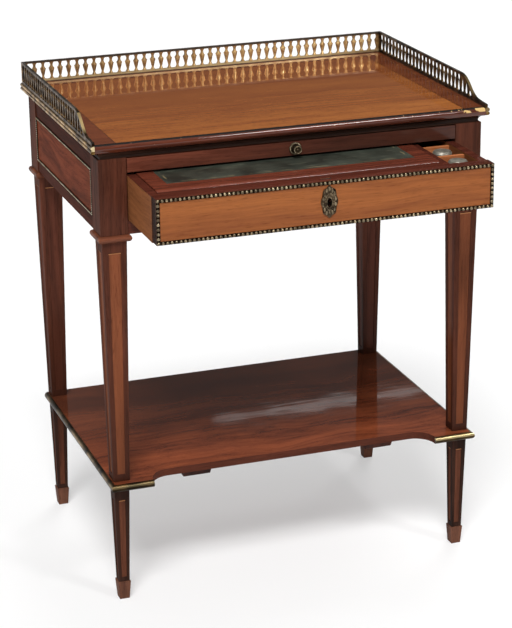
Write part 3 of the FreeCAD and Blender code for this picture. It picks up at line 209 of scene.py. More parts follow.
def sunk_panels_shown(piece, low, high, low_half, high_half, finish):
    """Gives the floors of a leg's sunk panels their own wood."""
    piece.data.materials.append(finish)
    for face in piece.data.polygons:
        off_axis = max(abs(abs(face.center.x) - LEG_X), abs(abs(face.center.y) - LEG_Y))
        face_of_leg = low_half + (high_half - low_half) * (face.center.z - low) / (high - low)
        sunk = face_of_leg - off_axis
        if low < face.center.z < high and abs(sunk - PANEL_SUNK) < PANEL_SLACK:
            face.material_index = 1


# Panel mahogany is redder and worn, with a painted highlight, a pale line, along the top edge of each panel.
# It is painted darker further down, as painted shade, and is darkest in the lower legs, which were handled
# and waxed less.
HIGHLIGHT_EDGE = 0.0008
SHADE_FROM_BELOW = 0.1
SHADE_FULL_BELOW = 0.37


def panel_finish(name, pale, deep, panel_top):
    """The wood of a sunk leg panel, with a painted highlight along its top edge at that height and painted
    shade far below it.
    """
    material = polished(name, pale, deep, Z, roughness=0.38, coat=0.12, figure=0.022)
    tree = material.node_tree
    height = axes_of(tree)[Z]
    # Painted shade: the panel wood darkens further below its top edge.
    below = add(tree, "Math", {0: panel_top, 1: height}, operation="SUBTRACT")
    painted_panel_shade = add(tree, "MapRange", {0: below, "From Min": SHADE_FROM_BELOW, "From Max": SHADE_FULL_BELOW, "To Max": 0.8})
    tint(material, painted_panel_shade, deep)
    # Painted highlight: a pale line along the panel's top edge.
    painted_edge_highlight = add(tree, "Math", {0: height, 1: panel_top, 2: HIGHLIGHT_EDGE}, operation="COMPARE")
    tint(material, painted_edge_highlight, "B98052")
    return material


lower_panel_mahogany = panel_finish("mahogany_lower_panel_polish", "683C2A", "44261B", LOWER_PANEL_TOP_Z)

# Feet have lost their polish to wax and floor washing, and show browner wood.
foot_mahogany = polished("mahogany_foot_worn", "704938", "4C2F24", Z, roughness=0.5, coat=0.15,
                         coat_roughness=0.25, streak=0.005, figure=0.02, sway=0.006)

# The short legs are stained nearly black round their panels.
black_mahogany = polished("mahogany_black_stained", "3E261D", "20130E", Z, coat=0.12)

for corner in CORNERS:
    leg = softened("lower_leg_" + corner, "table", black_mahogany, arris=0.0006)
    sunk_panels_shown(leg, ANKLE_Z, LOWER_TOP_Z, ANKLE_HALF, LOWER_TOP_HALF, lower_panel_mahogany)
    leg.data.materials.append(foot_mahogany)
    for face in leg.data.polygons:
        if face.center.z < FOOT_TOP_Z:
            face.material_index = 2

# Shelf: one wide mahogany board with the grain along it and hollowed front and back edges.
# Its thick polish has sunk unevenly with age and along the grain, so reflections in it waver.
# The back is painted darker, as painted shade under the top, and the edges are waxed.
SHELF_LIT_Y = -0.14
SHELF_SHADED_Y = 0.14
SWELL = 0.09
SUNK_STREAK = (1 / 0.15, 1 / 0.01, 1)
STREAK_SHARE = 0.1
EDGE_TILT = 0.5
shelf_polish = polished("mahogany_shelf_french_polish", "8A482C", "4A2217", X, roughness=0.35, coat=0.9,
                        coat_roughness=0.03, streak=0.009, figure=0.055, sway=0.06)
tree = shelf_polish.node_tree
# Painted shade: the shelf darkens towards the back.
painted_shelf_shade = add(tree, "MapRange",
             {0: axes_of(tree)[Y], "From Min": SHELF_LIT_Y, "From Max": SHELF_SHADED_Y, "To Max": 0.7})
tint(shelf_polish, painted_shelf_shade, "402419")
shelf_place = add(tree, "TexCoord", {}, "Object")
shelf_swell = add(tree, "TexNoise", {"Vector": shelf_place, "Scale": 1 / SWELL, "Detail": 1.0})
shelf_run = add(tree, "Mapping", {"Vector": shelf_place, "Scale": SUNK_STREAK})
shelf_streaks = add(tree, "TexNoise", {"Vector": shelf_run, "Scale": 1.0, "Detail": 2.0})
shelf_relief = add(tree, "Math", {0: shelf_streaks, 1: STREAK_SHARE, 2: shelf_swell},
                   operation="MULTIPLY_ADD")
shelf_wave = add(tree, "Bump", {"Strength": 0.18, "Distance": 0.001, "Height": shelf_relief})
tree.links.new(shelf_wave, tree.nodes["Principled BSDF"].inputs["Coat Normal"])
shelf = softened("shelf_board", "table", shelf_polish, arris=0.001)
shelf_edge = polished("mahogany_shelf_edge_waxed", "5A2E20", "3A1D14", X, roughness=0.42, coat=0.15)
shelf.data.materials.append(shelf_edge)
for face in shelf.data.polygons:
    if abs(face.normal.z) < EDGE_TILT:
        face.material_index = 1

# Shelf trim: half-round brass wrapped round both ends of the shelf and returned along the front and back.
# It is lacquered brass gone nearly black; the returns carry a painted highlight along their crest, most at
# the right, where they are also rubbed yellow, and painted shade darkens the lower half.
PIT = 0.0015
PATINA_DULL = 0.15


def aged_metal(name, bright, dark, patch, roughness=0.3, metallic=1.0):
    """Old metal with a dark patina in patches and bright rubbed places between, sized in metres."""
    material, tree, shader = new_material(name, {"Metallic": metallic})
    place = add(tree, "TexCoord", {}, "Object")
    cloud = add(tree, "TexNoise", {"Vector": place, "Scale": 1 / patch, "Detail": 4.0})
    cloud = add(tree, "MapRange", {0: cloud, "From Min": 0.38, "From Max": 0.62})
    colour = add(tree, "Mix", {0: cloud, 6: linear(dark), 7: linear(bright)}, 2, data_type="RGBA")
    tree.links.new(colour, shader.inputs["Base Color"])
    dull = add(tree, "MapRange", {0: cloud, "To Min": roughness + PATINA_DULL, "To Max": roughness})
    tree.links.new(dull, shader.inputs["Roughness"])
    pits = add(tree, "TexNoise", {"Vector": place, "Scale": 1 / PIT, "Detail": 2.0})
    pitted = add(tree, "Bump", {"Strength": 0.12, "Distance": 0.0003, "Height": pits})
    tree.links.new(pitted, shader.inputs["Normal"])
    return material


def dress(material, *nodes):
    """Gives CAD pieces that stand as they are their material."""
    for node in nodes:
        frame["nodes"][node].data.materials[0] = material


RETURN_Y = 0.2
RETURN_FULL_Y = 0.21
CREST_Z = 0.2053
CREST_REACH = 0.0024
CREST_FULL = 0.0006
TRIM_SHADE_FROM_Z = 0.2038
TRIM_SHADE_FULL_Z = 0.2024
WEAR_AND_HIGHLIGHT_X = 0.3
trim_brass = aged_metal("brass_trim_aged", "7C6340", "2C2318", patch=0.03)
tree = trim_brass.node_tree
trim_axes = axes_of(tree)
trim_depth = add(tree, "Math", {0: trim_axes[Y]}, operation="ABSOLUTE")
# Painted highlight: a bright band along the crest of the returns, brightest at the right.
highlight_and_rubbed = add(tree, "MapRange",
             {0: trim_depth, "From Min": RETURN_Y, "From Max": RETURN_FULL_Y, "To Max": 0.8})
off_crest = add(tree, "Math", {0: trim_axes[Z], 1: CREST_Z}, operation="SUBTRACT")
off_crest = add(tree, "Math", {0: off_crest}, operation="ABSOLUTE")
on_crest = add(tree, "MapRange", {0: off_crest, "From Min": CREST_REACH, "From Max": CREST_FULL})
to_right = add(tree, "MapRange", {0: trim_axes[X], "From Min": -WEAR_AND_HIGHLIGHT_X, "From Max": WEAR_AND_HIGHLIGHT_X, "To Min": 0.15})
for share in (on_crest, to_right):
    highlight_and_rubbed = add(tree, "Math", {0: highlight_and_rubbed, 1: share}, operation="MULTIPLY")
tint(trim_brass, highlight_and_rubbed, "F2DCA4")
# Painted shade: the trim's lower half darkens below the crest.
painted_trim_shade = add(tree, "MapRange",
            {0: trim_axes[Z], "From Min": TRIM_SHADE_FROM_Z, "From Max": TRIM_SHADE_FULL_Z, "To Max": 0.8})
tint(trim_brass, painted_trim_shade, "1C1710")
dress(trim_brass, "shelf_trim_left", "shelf_trim_right")

# Battens: two mahogany strips across the underside of the shelf, which keep it flat.
# They are screwed up into it from below, and were left dark and unpolished.
batten_wood = polished("mahogany_batten_waxed", "4A2418", "26110B", Y, roughness=0.55, coat=0.15,
                       coat_roughness=0.3)
softened("shelf_battens", "table", batten_wood, arris=0.001)

# Screws and dowels: slotted iron screws, gone grey, hold the battens and the top.
# Dowels of the same dark wood as the battens join the legs through the shelf.
old_iron = aged_metal("iron_screw_grey", "7C7A76", "3A3632", patch=0.004, roughness=0.4)
dress(old_iron, "batten_screws", "top_screws")
dress(batten_wood, "leg_dowels")

# Legs: square stiles at the frieze that taper to the shelf, solid mahogany with the grain upright.
# The sunk panels have paler, redder wood than their dark borders; on the back legs that wood is painted
# darker, as painted shade.
SHADED_FROM_Z = 0.42
SHADED_TO_Z = 0.22
PANEL_TOP_Z = 0.5873
SHAFT_LOW = 0.2085
SHAFT_HIGH = 0.606
SHAFT_LOW_HALF = 0.01325
SHAFT_HIGH_HALF = 0.0197

# French-polished mahogany, dark: the polish has dulled, and the wood is painted nearly black towards the
# shelf, as painted shade.
dark_mahogany = polished("mahogany_dark_french_polish", "633728", "361E16", Z, coat=0.1)
tree = dark_mahogany.node_tree
# Painted shade: the stiles go darker towards the shelf.
painted_leg_shade = add(tree, "MapRange",
            {0: axes_of(tree)[Z], "From Min": SHADED_FROM_Z, "From Max": SHADED_TO_Z, "To Max": 0.75})
tint(dark_mahogany, painted_leg_shade, "301A13")
panel_mahogany = panel_finish("mahogany_panel_polish", "8A4F33", "5E3421", PANEL_TOP_Z)
# Painted shade: the back legs' panels are a darker copy of the front legs' panel wood.
shaded_back_panel_mahogany = panel_finish("mahogany_back_panel_painted_shade", "67392A", "43241A", PANEL_TOP_Z)
for corner in CORNERS:
    leg = softened("leg_" + corner, "table", dark_mahogany, arris=0.0006)
    panel_wood = shaded_back_panel_mahogany if "back" in corner else panel_mahogany
    sunk_panels_shown(leg, SHAFT_LOW, SHAFT_HIGH, SHAFT_LOW_HALF, SHAFT_HIGH_HALF, panel_wood)

# Collars: rounded mahogany mouldings, mitred and glued round each leg below the frieze.
# The polish is rubbed through to red wood on the nose.
collar_polish = polished("mahogany_collar_rubbed", "76442F", "48271B", X, coat=0.3, coat_roughness=0.18,
                         streak=0.005, figure=0.02, sway=0.006)
softened("leg_collars", "table", collar_polish, arris=0.0008)

# Aprons and front rail: mahogany boards tenoned into the stiles and French polished.
# The side aprons are redder inside their bead frames; back apron and rail are a little glossier.
apron_polish = polished("mahogany_apron_french_polish", "50291E", "301811", Y, coat=0.06, streak=0.007,
                        figure=0.04, sway=0.02)
tree = apron_polish.node_tree
apron_axes = axes_of(tree)
frame_low, frame_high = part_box("side_bead_left")
within = []
for axis in (Y, Z):
    middle = (frame_low[axis] + frame_high[axis]) / 2
    half = (frame_high[axis] - frame_low[axis]) / 2
    within.append(add(tree, "Math", {0: apron_axes[axis], 1: middle, 2: half}, operation="COMPARE"))
framed = add(tree, "Math", {0: within[0], 1: within[1]}, operation="MULTIPLY")
tint(apron_polish, framed, wood_colour(tree, "7C3F29", "4A2317", Y, streak=0.007, figure=0.04, sway=0.05))
for node in ("side_apron_left", "side_apron_right"):
    softened(node, "table", apron_polish, arris=0.0006)
rail_polish = polished("mahogany_rail_french_polish", "5E2C1C", "34170F", X, coat=0.25, coat_roughness=0.15)
for node in ("back_apron", "front_rail"):
    softened(node, "table", rail_polish, arris=0.0006)

# Side beads: a fine pearled brass moulding pinned round each side apron as a frame.
# It is a flat fillet with a row of small domes, cast in lengths and mitred at the corners.
SIDE_PEARL = 0.00115
SIDE_EDGE = 0.0014
SIDE_PITCH = 0.0035
SIDE_FACE_X = 0.3135
CAST_TURN = math.radians(60)


def leave_edit():
    """Turns every face of the piece that is being edited outwards and leaves edit mode."""
    bpy.ops.mesh.select_all(action="SELECT")
    bpy.ops.mesh.normals_make_consistent(inside=False)
    bpy.ops.object.mode_set(mode="OBJECT")


def half_ball(centre, radius, facing, faces):
    """One cast dome: a ball cut in half, flat side down."""
    bpy.ops.object.select_all(action="DESELECT")
    bpy.ops.mesh.primitive_uv_sphere_add(segments=faces, ring_count=6, radius=radius, location=centre)
    dome = bpy.context.active_object
    bpy.ops.object.transform_apply()
    edit_all()
    bpy.ops.mesh.bisect(plane_co=centre, plane_no=facing, clear_inner=True, use_fill=True)
    leave_edit()
    return dome


def repeated(piece, step, count):
    """Repeats the active piece along a step, all in one mesh."""
    repeat = piece.modifiers.new("repeat", "ARRAY")
    repeat.count = count
    repeat.use_relative_offset = False
    repeat.use_constant_offset = True
    repeat.constant_offset_displace = step
    bpy.ops.object.modifier_apply(modifier="repeat")


def pearl_frame(corner, across, up, radius, pitch, facing, faces):
    """Four rows of pearls round a frame: across and up are the vectors of its sides between pearl centres."""
    corner, across, up = Vector(corner), Vector(across), Vector(up)
    across_gaps = round(across.length / pitch)
    up_gaps = round(up.length / pitch)
    across_step = across / across_gaps
    up_step = up / up_gaps
    rows = []
    for start, step, count in (
        (corner, across_step, across_gaps + 1),
        (corner + up, across_step, across_gaps + 1),
        (corner + up_step, up_step, up_gaps - 1),
        (corner + across + up_step, up_step, up_gaps - 1),
    ):
        row = half_ball(start, radius, facing, faces)
        bpy.ops.object.shade_smooth_by_angle(angle=CAST_TURN)
        repeated(row, step, count)
        rows.append(row)
    bpy.ops.object.select_all(action="DESELECT")
    for row in rows:
        row.select_set(True)
    bpy.context.view_layer.objects.active = rows[0]
    bpy.ops.object.join()
    return rows[0]


side_brass = aged_metal("brass_side_pearl_worn", "E4D8BA", "B4A07A", patch=0.02)
side_fillet = aged_metal("brass_side_fillet_bronzed", "2E2419", "16110B", patch=0.02, roughness=0.5)
for side, sign in (("left", -1), ("right", 1)):
    low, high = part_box("side_bead_" + side)
    first_pearl = (sign * SIDE_FACE_X, low.y + SIDE_EDGE, low.z + SIDE_EDGE)
    run = (0, high.y - low.y - 2 * SIDE_EDGE, 0)
    rise = (0, 0, high.z - low.z - 2 * SIDE_EDGE)
    pearls = pearl_frame(first_pearl, run, rise, SIDE_PEARL, SIDE_PITCH, (sign, 0, 0), faces=8)
    pearls.name = "side_pearls_" + side
    pearls.data.materials.append(side_brass)
    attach(pearls, "table")
    dress(side_fillet, "side_bead_" + side)

# Runners and slide guides: plain mahogany strips fixed inside the frieze.
# They never had polish, and are waxed where the drawer and the slide rub.
inside_wood = polished("mahogany_inside_waxed", "7A4A2C", "4E2A18", Y, roughness=0.6, coat=0.1,
                       coat_roughness=0.3)
dress(inside_wood, "drawer_runner_left", "drawer_runner_right", "slide_guide_left", "slide_guide_right")

# Cove frame: four lengths of mahogany moulding, mitred between the frieze and the top.
# Its hollow is painted nearly black, as painted shade under the top.
cove_shade_polish = polished("mahogany_cove_painted_shade", "3C2820", "211611", X, coat=0.15, coat_roughness=0.15)
dress(cove_shade_polish, "top_cove_frame")

# Top board: a mahogany field painted darker towards the back as painted shade, crossbanded at the sides and
# back, with a black front line.
# The nosing is darker solid wood, nicked along its crest and chipped to the pale ground at the right.
BAND = 0.035
LINE = 0.0007
LINE_SHARE = 0.6
FRONT_LINE_Y = -0.2172
FRONT_LINE = 0.0035
TOP_SHADE_FROM_Y = -0.18
TOP_SHADE_FULL_Y = 0.08
NOSING_CREST_Z = 0.7545
NOSING_EDGE_Y = -0.2185
CHIPS_FROM_X = 0.255
CHIPS_FULL_X = 0.285
CHIP = 0.014
NICK = 0.006
NICKED_OVER = 0.7
top_polish = polished("mahogany_top_french_polish", "AE6A33", "844824", X, roughness=0.34, coat=1.0,
                      coat_roughness=0.03, streak=0.005, figure=0.045, sway=0.03)
tree = top_polish.node_tree
top_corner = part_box("top_board")[1]
top_place = add(tree, "TexCoord", {}, "Object")
top_axes = axes_of(tree)
# Painted shade: the field darkens from the front towards the back.
painted_top_shade = add(tree, "MapRange",
              {0: top_axes[Y], "From Min": TOP_SHADE_FROM_Y, "From Max": TOP_SHADE_FULL_Y, "To Max": 0.62})
tint(top_polish, painted_top_shade, "6E3A20")
top_side = add(tree, "Math", {0: top_axes[X]}, operation="ABSOLUTE")
side_in = add(tree, "Math", {0: top_side, 1: top_corner.x - BAND}, operation="SUBTRACT")
back_in = add(tree, "Math", {0: top_axes[Y], 1: top_corner.y - BAND}, operation="SUBTRACT")
edge_in = add(tree, "Math", {0: side_in, 1: back_in}, operation="MAXIMUM")
in_band = add(tree, "Math", {0: edge_in, 1: 0.0}, operation="GREATER_THAN")
in_back = add(tree, "Math", {0: back_in, 1: side_in}, operation="GREATER_THAN")
side_band = wood_colour(tree, "7E4428", "5C2D1B", X, streak=0.005)
back_band = wood_colour(tree, "7E4428", "5C2D1B", Y, streak=0.005)
band = add(tree, "Mix", {0: in_back, 6: side_band, 7: back_band}, 2, data_type="RGBA")
tint(top_polish, in_band, band)
on_line = add(tree, "Math", {0: edge_in, 1: 0.0, 2: LINE}, operation="COMPARE")
mitre = add(tree, "Math", {0: side_in, 1: back_in, 2: LINE}, operation="COMPARE")
mitre = add(tree, "Math", {0: mitre, 1: in_band}, operation="MULTIPLY")
dark_line = add(tree, "Math", {0: on_line, 1: mitre}, operation="MAXIMUM")
dark_line = add(tree, "Math", {0: dark_line, 1: LINE_SHARE}, operation="MULTIPLY")
tint(top_polish, dark_line, "1E0F0A")
on_nosing = add(tree, "Math", {0: top_axes[Y], 1: FRONT_LINE_Y}, operation="LESS_THAN")
tint(top_polish, on_nosing, wood_colour(tree, "6C3420", "401C12", X))
# A black line is painted along the front edge of the top.
black_front_line = add(tree, "Math", {0: top_axes[Y], 1: FRONT_LINE_Y, 2: FRONT_LINE}, operation="COMPARE")
tint(top_polish, black_front_line, "0E0907")
nosing_crest = add(tree, "Math", {0: top_axes[Z], 1: NOSING_CREST_Z}, operation="GREATER_THAN")
at_front = add(tree, "Math", {0: top_axes[Y], 1: NOSING_EDGE_Y}, operation="LESS_THAN")
chips = add(tree, "TexNoise", {"Vector": top_place, "Scale": 1 / CHIP, "Detail": 4.0})
chip_reach = add(tree, "MapRange", {0: top_axes[X], "From Min": CHIPS_FROM_X, "From Max": CHIPS_FULL_X,
                                    "To Min": 0.72, "To Max": 0.5})
chipped = add(tree, "Math", {0: chips, 1: chip_reach}, operation="GREATER_THAN")
nicks = add(tree, "TexNoise", {"Vector": top_place, "Scale": 1 / NICK, "Detail": 2.0})
nicked = add(tree, "Math", {0: nicks, 1: NICKED_OVER}, operation="GREATER_THAN")
for share in (nosing_crest, at_front):
    chipped = add(tree, "Math", {0: chipped, 1: share}, operation="MULTIPLY")
    nicked = add(tree, "Math", {0: nicked, 1: share}, operation="MULTIPLY")
tint(top_polish, chipped, "CFAC70")
tint(top_polish, nicked, "BF9272")
softened("top_board", "table", top_polish, arris=0.0005)

# Gallery: cast and pierced brass pinned to the top along its back and sides.
# The back length keeps its gilt colour below a bronzed rail, with a painted highlight along its foot and a
# dark line of painted shade at its seam with the top; the side lengths have gone bronze.
# The slopes at the front of the side lengths, where they face forward and up, are painted bright, the left
# one most: rubbed gilt and a painted highlight.
GALLERY_SEAM_Z = 0.7614
GALLERY_FOOT_Z = 0.764
FOOT_FADE = 0.003
GALLERY_RAIL_Z = 0.792
RAIL_FADE = 0.0015
SLOPE_FORWARD = -0.3
SLOPE_UPWARD = 0.2
SLOPE_BACK_Y = -0.14
SLOPE_FROM_Z = 0.769
SLOPE_FULL_Z = 0.774
gallery_brass = aged_metal("brass_gallery_gilt", "B48A52", "5E4026", patch=0.012, roughness=0.34,
                           metallic=0.7)
tree = gallery_brass.node_tree
gallery_height = axes_of(tree)[Z]
# Painted highlight: the foot of the back length is paler.
painted_foot_highlight = add(tree, "MapRange",
              {0: gallery_height, "From Min": GALLERY_FOOT_Z + FOOT_FADE, "From Max": GALLERY_FOOT_Z})
tint(gallery_brass, painted_foot_highlight, "B69F74")
on_rail = add(tree, "MapRange",
              {0: gallery_height, "From Min": GALLERY_RAIL_Z, "From Max": GALLERY_RAIL_Z + RAIL_FADE})
# Painted shade: a dark line along the seam at the gallery's foot; the top rail above is bronzed.
in_seam = add(tree, "Math", {0: gallery_height, 1: GALLERY_SEAM_Z}, operation="LESS_THAN")
bronzed_rail_and_seam_shade = add(tree, "Math", {0: on_rail, 1: in_seam}, operation="MAXIMUM")
tint(gallery_brass, bronzed_rail_and_seam_shade, "40342A")
dress(gallery_brass, "gallery_back", "gallery_pins")
side_gallery_brass = aged_metal("brass_gallery_bronzed", "60492C", "241A11", patch=0.012, roughness=0.36)
tree = side_gallery_brass.node_tree
facing = add(tree, "SeparateXYZ", {0: add(tree, "NewGeometry", {}, "Normal")}).node.outputs
# Painted highlight with rubbed gilt: faces turned forward and up near the front go bright.
forward = add(tree, "Math", {0: facing[Y], 1: SLOPE_FORWARD}, operation="LESS_THAN")
upward = add(tree, "Math", {0: facing[Z], 1: SLOPE_UPWARD}, operation="GREATER_THAN")
side_axes = axes_of(tree)
on_slope = add(tree, "Math", {0: side_axes[Y], 1: SLOPE_BACK_Y}, operation="LESS_THAN")
above = add(tree, "MapRange",
            {0: side_axes[Z], "From Min": SLOPE_FROM_Z, "From Max": SLOPE_FULL_Z, "To Max": 0.85})
to_left = add(tree, "MapRange", {0: side_axes[X], "From Min": WEAR_AND_HIGHLIGHT_X, "From Max": -WEAR_AND_HIGHLIGHT_X, "To Min": 0.3})
rubbed_and_highlight = forward
for share in (upward, on_slope, above, to_left):
    rubbed_and_highlight = add(tree, "Math", {0: rubbed_and_highlight, 1: share}, operation="MULTIPLY")
tint(side_gallery_brass, rubbed_and_highlight, "DDC189")
dress(side_gallery_brass, "gallery_left", "gallery_right")

# Gallery bars: rounded bellies cast on both faces of the flat, rubbed brighter than it.
# Along the back they are gilt and darker towards the left; along the sides they are bronze.
BAR_PITCH = 0.0147
BAR_FOOT_Z = 0.7645
BAR_SHARE = 0.94
BAR_SIDES = 10
BAR_OUTLINE = (
    (0.0042, -0.0005), (0.0042, 0), (0.0028, 0.0015), (0.0019, 0.0035), (0.0016, 0.005), (0.0032, 0.0115),
    (0.0048, 0.018), (0.0036, 0.019), (0.0024, 0.021), (0.002, 0.0232), (0.0026, 0.026), (0.0042, 0.028),
    (0.0042, 0.0285),
)
BACK_BARS = 42
SIDE_BARS = 22
BACK_BELLY = 0.00215
SIDE_BELLY = 0.0016
SIDE_BAR_Y = 0.2001
BRIGHT_X = 0.15
BAR_DARKEST_X = -0.2


def cast_bars(name, foot, step, count, depth, finish):
    """A row of oval bar bellies from the foot of the first: the step leads to the next along the rail."""
    half, height = BAR_OUTLINE[0]
    bpy.ops.object.select_all(action="DESELECT")
    bpy.ops.mesh.primitive_circle_add(vertices=BAR_SIDES, radius=half, fill_type="NGON", calc_uvs=False,
                                      location=(0, 0, height), rotation=(0, 0, math.radians(90)))
    bars = bpy.context.active_object
    bars.name = name
    bpy.ops.object.transform_apply()
    edit_all()
    bpy.ops.transform.resize(value=(BAR_SHARE, min(half, depth) / half, 1), center_override=(0, 0, height))
    for (half, height), (half_above, height_above) in zip(BAR_OUTLINE, BAR_OUTLINE[1:]):
        bpy.ops.mesh.extrude_region_move(TRANSFORM_OT_translate={"value": (0, 0, height_above - height)})
        wider = half_above / half
        thicker = min(half_above, depth) / min(half, depth)
        bpy.ops.transform.resize(value=(wider, thicker, 1), center_override=(0, 0, height_above))
    leave_edit()
    bpy.ops.object.shade_smooth_by_angle(angle=CAST_TURN)
    bars.location = foot
    bars.rotation_euler.z = math.atan2(step.y, step.x)
    bpy.ops.object.transform_apply()
    repeated(bars, step, count)
    bars.data.materials.append(finish)
    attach(bars, "table")
    return bars


bar_brass = aged_metal("brass_gallery_bar_rubbed", "EECB8C", "A67E4C", patch=0.006, roughness=0.26,
                       metallic=0.7)
tree = bar_brass.node_tree
# The back bars darken towards the left.
darker_to_left = add(tree, "MapRange",
              {0: axes_of(tree)[X], "From Min": BRIGHT_X, "From Max": BAR_DARKEST_X, "To Max": 0.65})
tint(bar_brass, darker_to_left, "6E5032")
bar_bronze = aged_metal("brass_gallery_bar_bronzed", "7E6440", "3A2B1A", patch=0.006, roughness=0.32)
back_low, back_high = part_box("gallery_back")
back_foot = Vector((-BAR_PITCH * (BACK_BARS - 1) / 2, (back_low.y + back_high.y) / 2, BAR_FOOT_Z))
back_bars = cast_bars("gallery_back_bars", back_foot, Vector((BAR_PITCH, 0, 0)), BACK_BARS, BACK_BELLY,
                      bar_brass)
for side in ("left", "right"):
    side_low, side_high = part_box("gallery_" + side)
    side_foot = Vector(((side_low.x + side_high.x) / 2, SIDE_BAR_Y, BAR_FOOT_Z))
    cast_bars("gallery_" + side + "_bars", side_foot, Vector((0, -BAR_PITCH, 0)), SIDE_BARS, SIDE_BELLY,
              bar_bronze)

# Strips: reeded brass along both sides of the top, pinned to its edges.
# They are dull on their length, with a painted highlight on the upper front ends, more on the left.
STRIP_END_Y = -0.2225
STRIP_END_Z = 0.7525
strip_brass = aged_metal("brass_strip_end_highlight", "B48E50", "4E3A22", patch=0.02)
tree = strip_brass.node_tree
strip_axes = axes_of(tree)
# Painted highlight: the upper front ends go pale.
painted_end_highlight = add(tree, "Math", {0: strip_axes[Y], 1: STRIP_END_Y}, operation="LESS_THAN")
upper_end = add(tree, "Math", {0: strip_axes[Z], 1: STRIP_END_Z}, operation="GREATER_THAN")
left_end = add(tree, "MapRange", {0: strip_axes[X], "From Min": WEAR_AND_HIGHLIGHT_X, "From Max": -WEAR_AND_HIGHLIGHT_X, "To Min": 0.15})
for share in (upper_end, left_end):
    painted_end_highlight = add(tree, "Math", {0: painted_end_highlight, 1: share}, operation="MULTIPLY")
tint(strip_brass, painted_end_highlight, "E6D3A6")
dress(strip_brass, "top_brass_left", "top_brass_right")

# Writing slide: a mahogany board with a front strip that fills the space over the drawer.
# The strip is painted darker towards its right end, as painted shade under the top.
SLIDE_SHADE_FROM_X = -0.2
SLIDE_SHADE_FULL_X = 0.07
slide_polish = polished("mahogany_slide_french_polish", "814735", "4A261C", X, roughness=0.38, coat=0.4,
                        coat_roughness=0.1, figure=0.05, sway=0.02)
tree = slide_polish.node_tree
# Painted shade: the strip darkens towards its right end.
painted_slide_shade = add(tree, "MapRange",
             {0: axes_of(tree)[X], "From Min": SLIDE_SHADE_FROM_X, "From Max": SLIDE_SHADE_FULL_X, "To Max": 0.7})
tint(slide_polish, painted_slide_shade, "221814")
softened("slide_front", "writing_slide", slide_polish, arris=0.0008)
dress(inside_wood, "slide_board")

# Slide knob: a turned brass button with a dished face, on a round plate, each edged with cast beads.
# Handling keeps the rims bright; the hollows between are nearly black.
PLATE_RIM = Vector((0, -0.0014, 0))
HEAD_RIM = Vector((0, -0.0119, 0))
KNOB_OUTLINE = (
    (0, -0.014), (0.0025, -0.014), (0.0025, 0), (0.01, 0), (0.01, 0.0009), (0.0092, 0.0016), (0.0076, 0.0016),
    (0.007, 0.002), (0.0042, 0.002), (0.0035, 0.0028), (0.0035, 0.0062), (0.0046, 0.0074), (0.0066, 0.0082),
    (0.007, 0.0096), (0.0068, 0.0112), (0.006, 0.0121), (0.0052, 0.0122), (0.0046, 0.0115), (0.003, 0.0113),
    (0.0027, 0.0122), (0.0019, 0.013), (0.0008, 0.0132), (0, 0.0132),
)


def turned(name, outline, foot, axis, finish):
    """A lathe-turned piece: a half outline of radius and height, spun round an axis from its foot."""
    points = [foot + Vector((radius, 0, 0)) + axis * height for radius, height in outline]
    bpy.ops.object.select_all(action="DESELECT")
    bpy.ops.mesh.primitive_plane_add(size=MERGED, calc_uvs=False, location=points[0])
    piece = bpy.context.active_object
    piece.name = name
    bpy.ops.object.transform_apply()
    edit_all()
    bpy.ops.mesh.merge(type="CENTER")
    for point, onward in zip(points, points[1:]):
        bpy.ops.mesh.extrude_vertices_move(TRANSFORM_OT_translate={"value": onward - point})
    bpy.ops.mesh.select_all(action="SELECT")
    bpy.ops.mesh.spin(steps=48, angle=2 * math.pi, center=foot, axis=axis)
    bpy.ops.mesh.select_all(action="SELECT")
    bpy.ops.mesh.remove_doubles(threshold=MERGED)
    leave_edit()
    bpy.ops.object.shade_smooth_by_angle(angle=SMOOTH_TURN)
    piece.data.materials.append(finish)
    return piece


def bead_ring(name, centre, ring_radius, bead_radius, count, finish):
    """A ring of cast half-beads that face the front, spun round a centre."""
    ring = half_ball(centre + Vector((0, 0, ring_radius)), bead_radius, (0, -1, 0), faces=10)
    ring.name = name
    edit_all()
    bpy.ops.mesh.spin(steps=count - 1, dupli=True, angle=2 * math.pi * (count - 1) / count, center=centre,
                      axis=(0, 1, 0))
    bpy.ops.object.mode_set(mode="OBJECT")
    bpy.ops.object.shade_smooth_by_angle(angle=CAST_TURN)
    ring.data.materials.append(finish)
    return ring


knob_brass = aged_metal("brass_knob_bronzed", "5C4F3C", "251D16", patch=0.006, roughness=0.34)
rim_brass = aged_metal("brass_knob_rim_rubbed", "C2B294", "72644C", patch=0.004)
strip_low, strip_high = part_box("slide_front")
knob_foot = Vector((0, strip_low.y, (strip_low.z + strip_high.z) / 2))
knob = turned("slide_knob_turned", KNOB_OUTLINE, knob_foot, Vector((0, -1, 0)), knob_brass)
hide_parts("slide_knob")
plate_beads = bead_ring("knob_plate_beads", knob_foot + PLATE_RIM, ring_radius=0.0085, bead_radius=0.0012,
                        count=22, finish=rim_brass)
head_beads = bead_ring("knob_head_beads", knob_foot + HEAD_RIM, ring_radius=0.0057, bead_radius=0.001,
                       count=16, finish=rim_brass)
for piece in (knob, plate_beads, head_beads):
    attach(piece, "writing_slide")

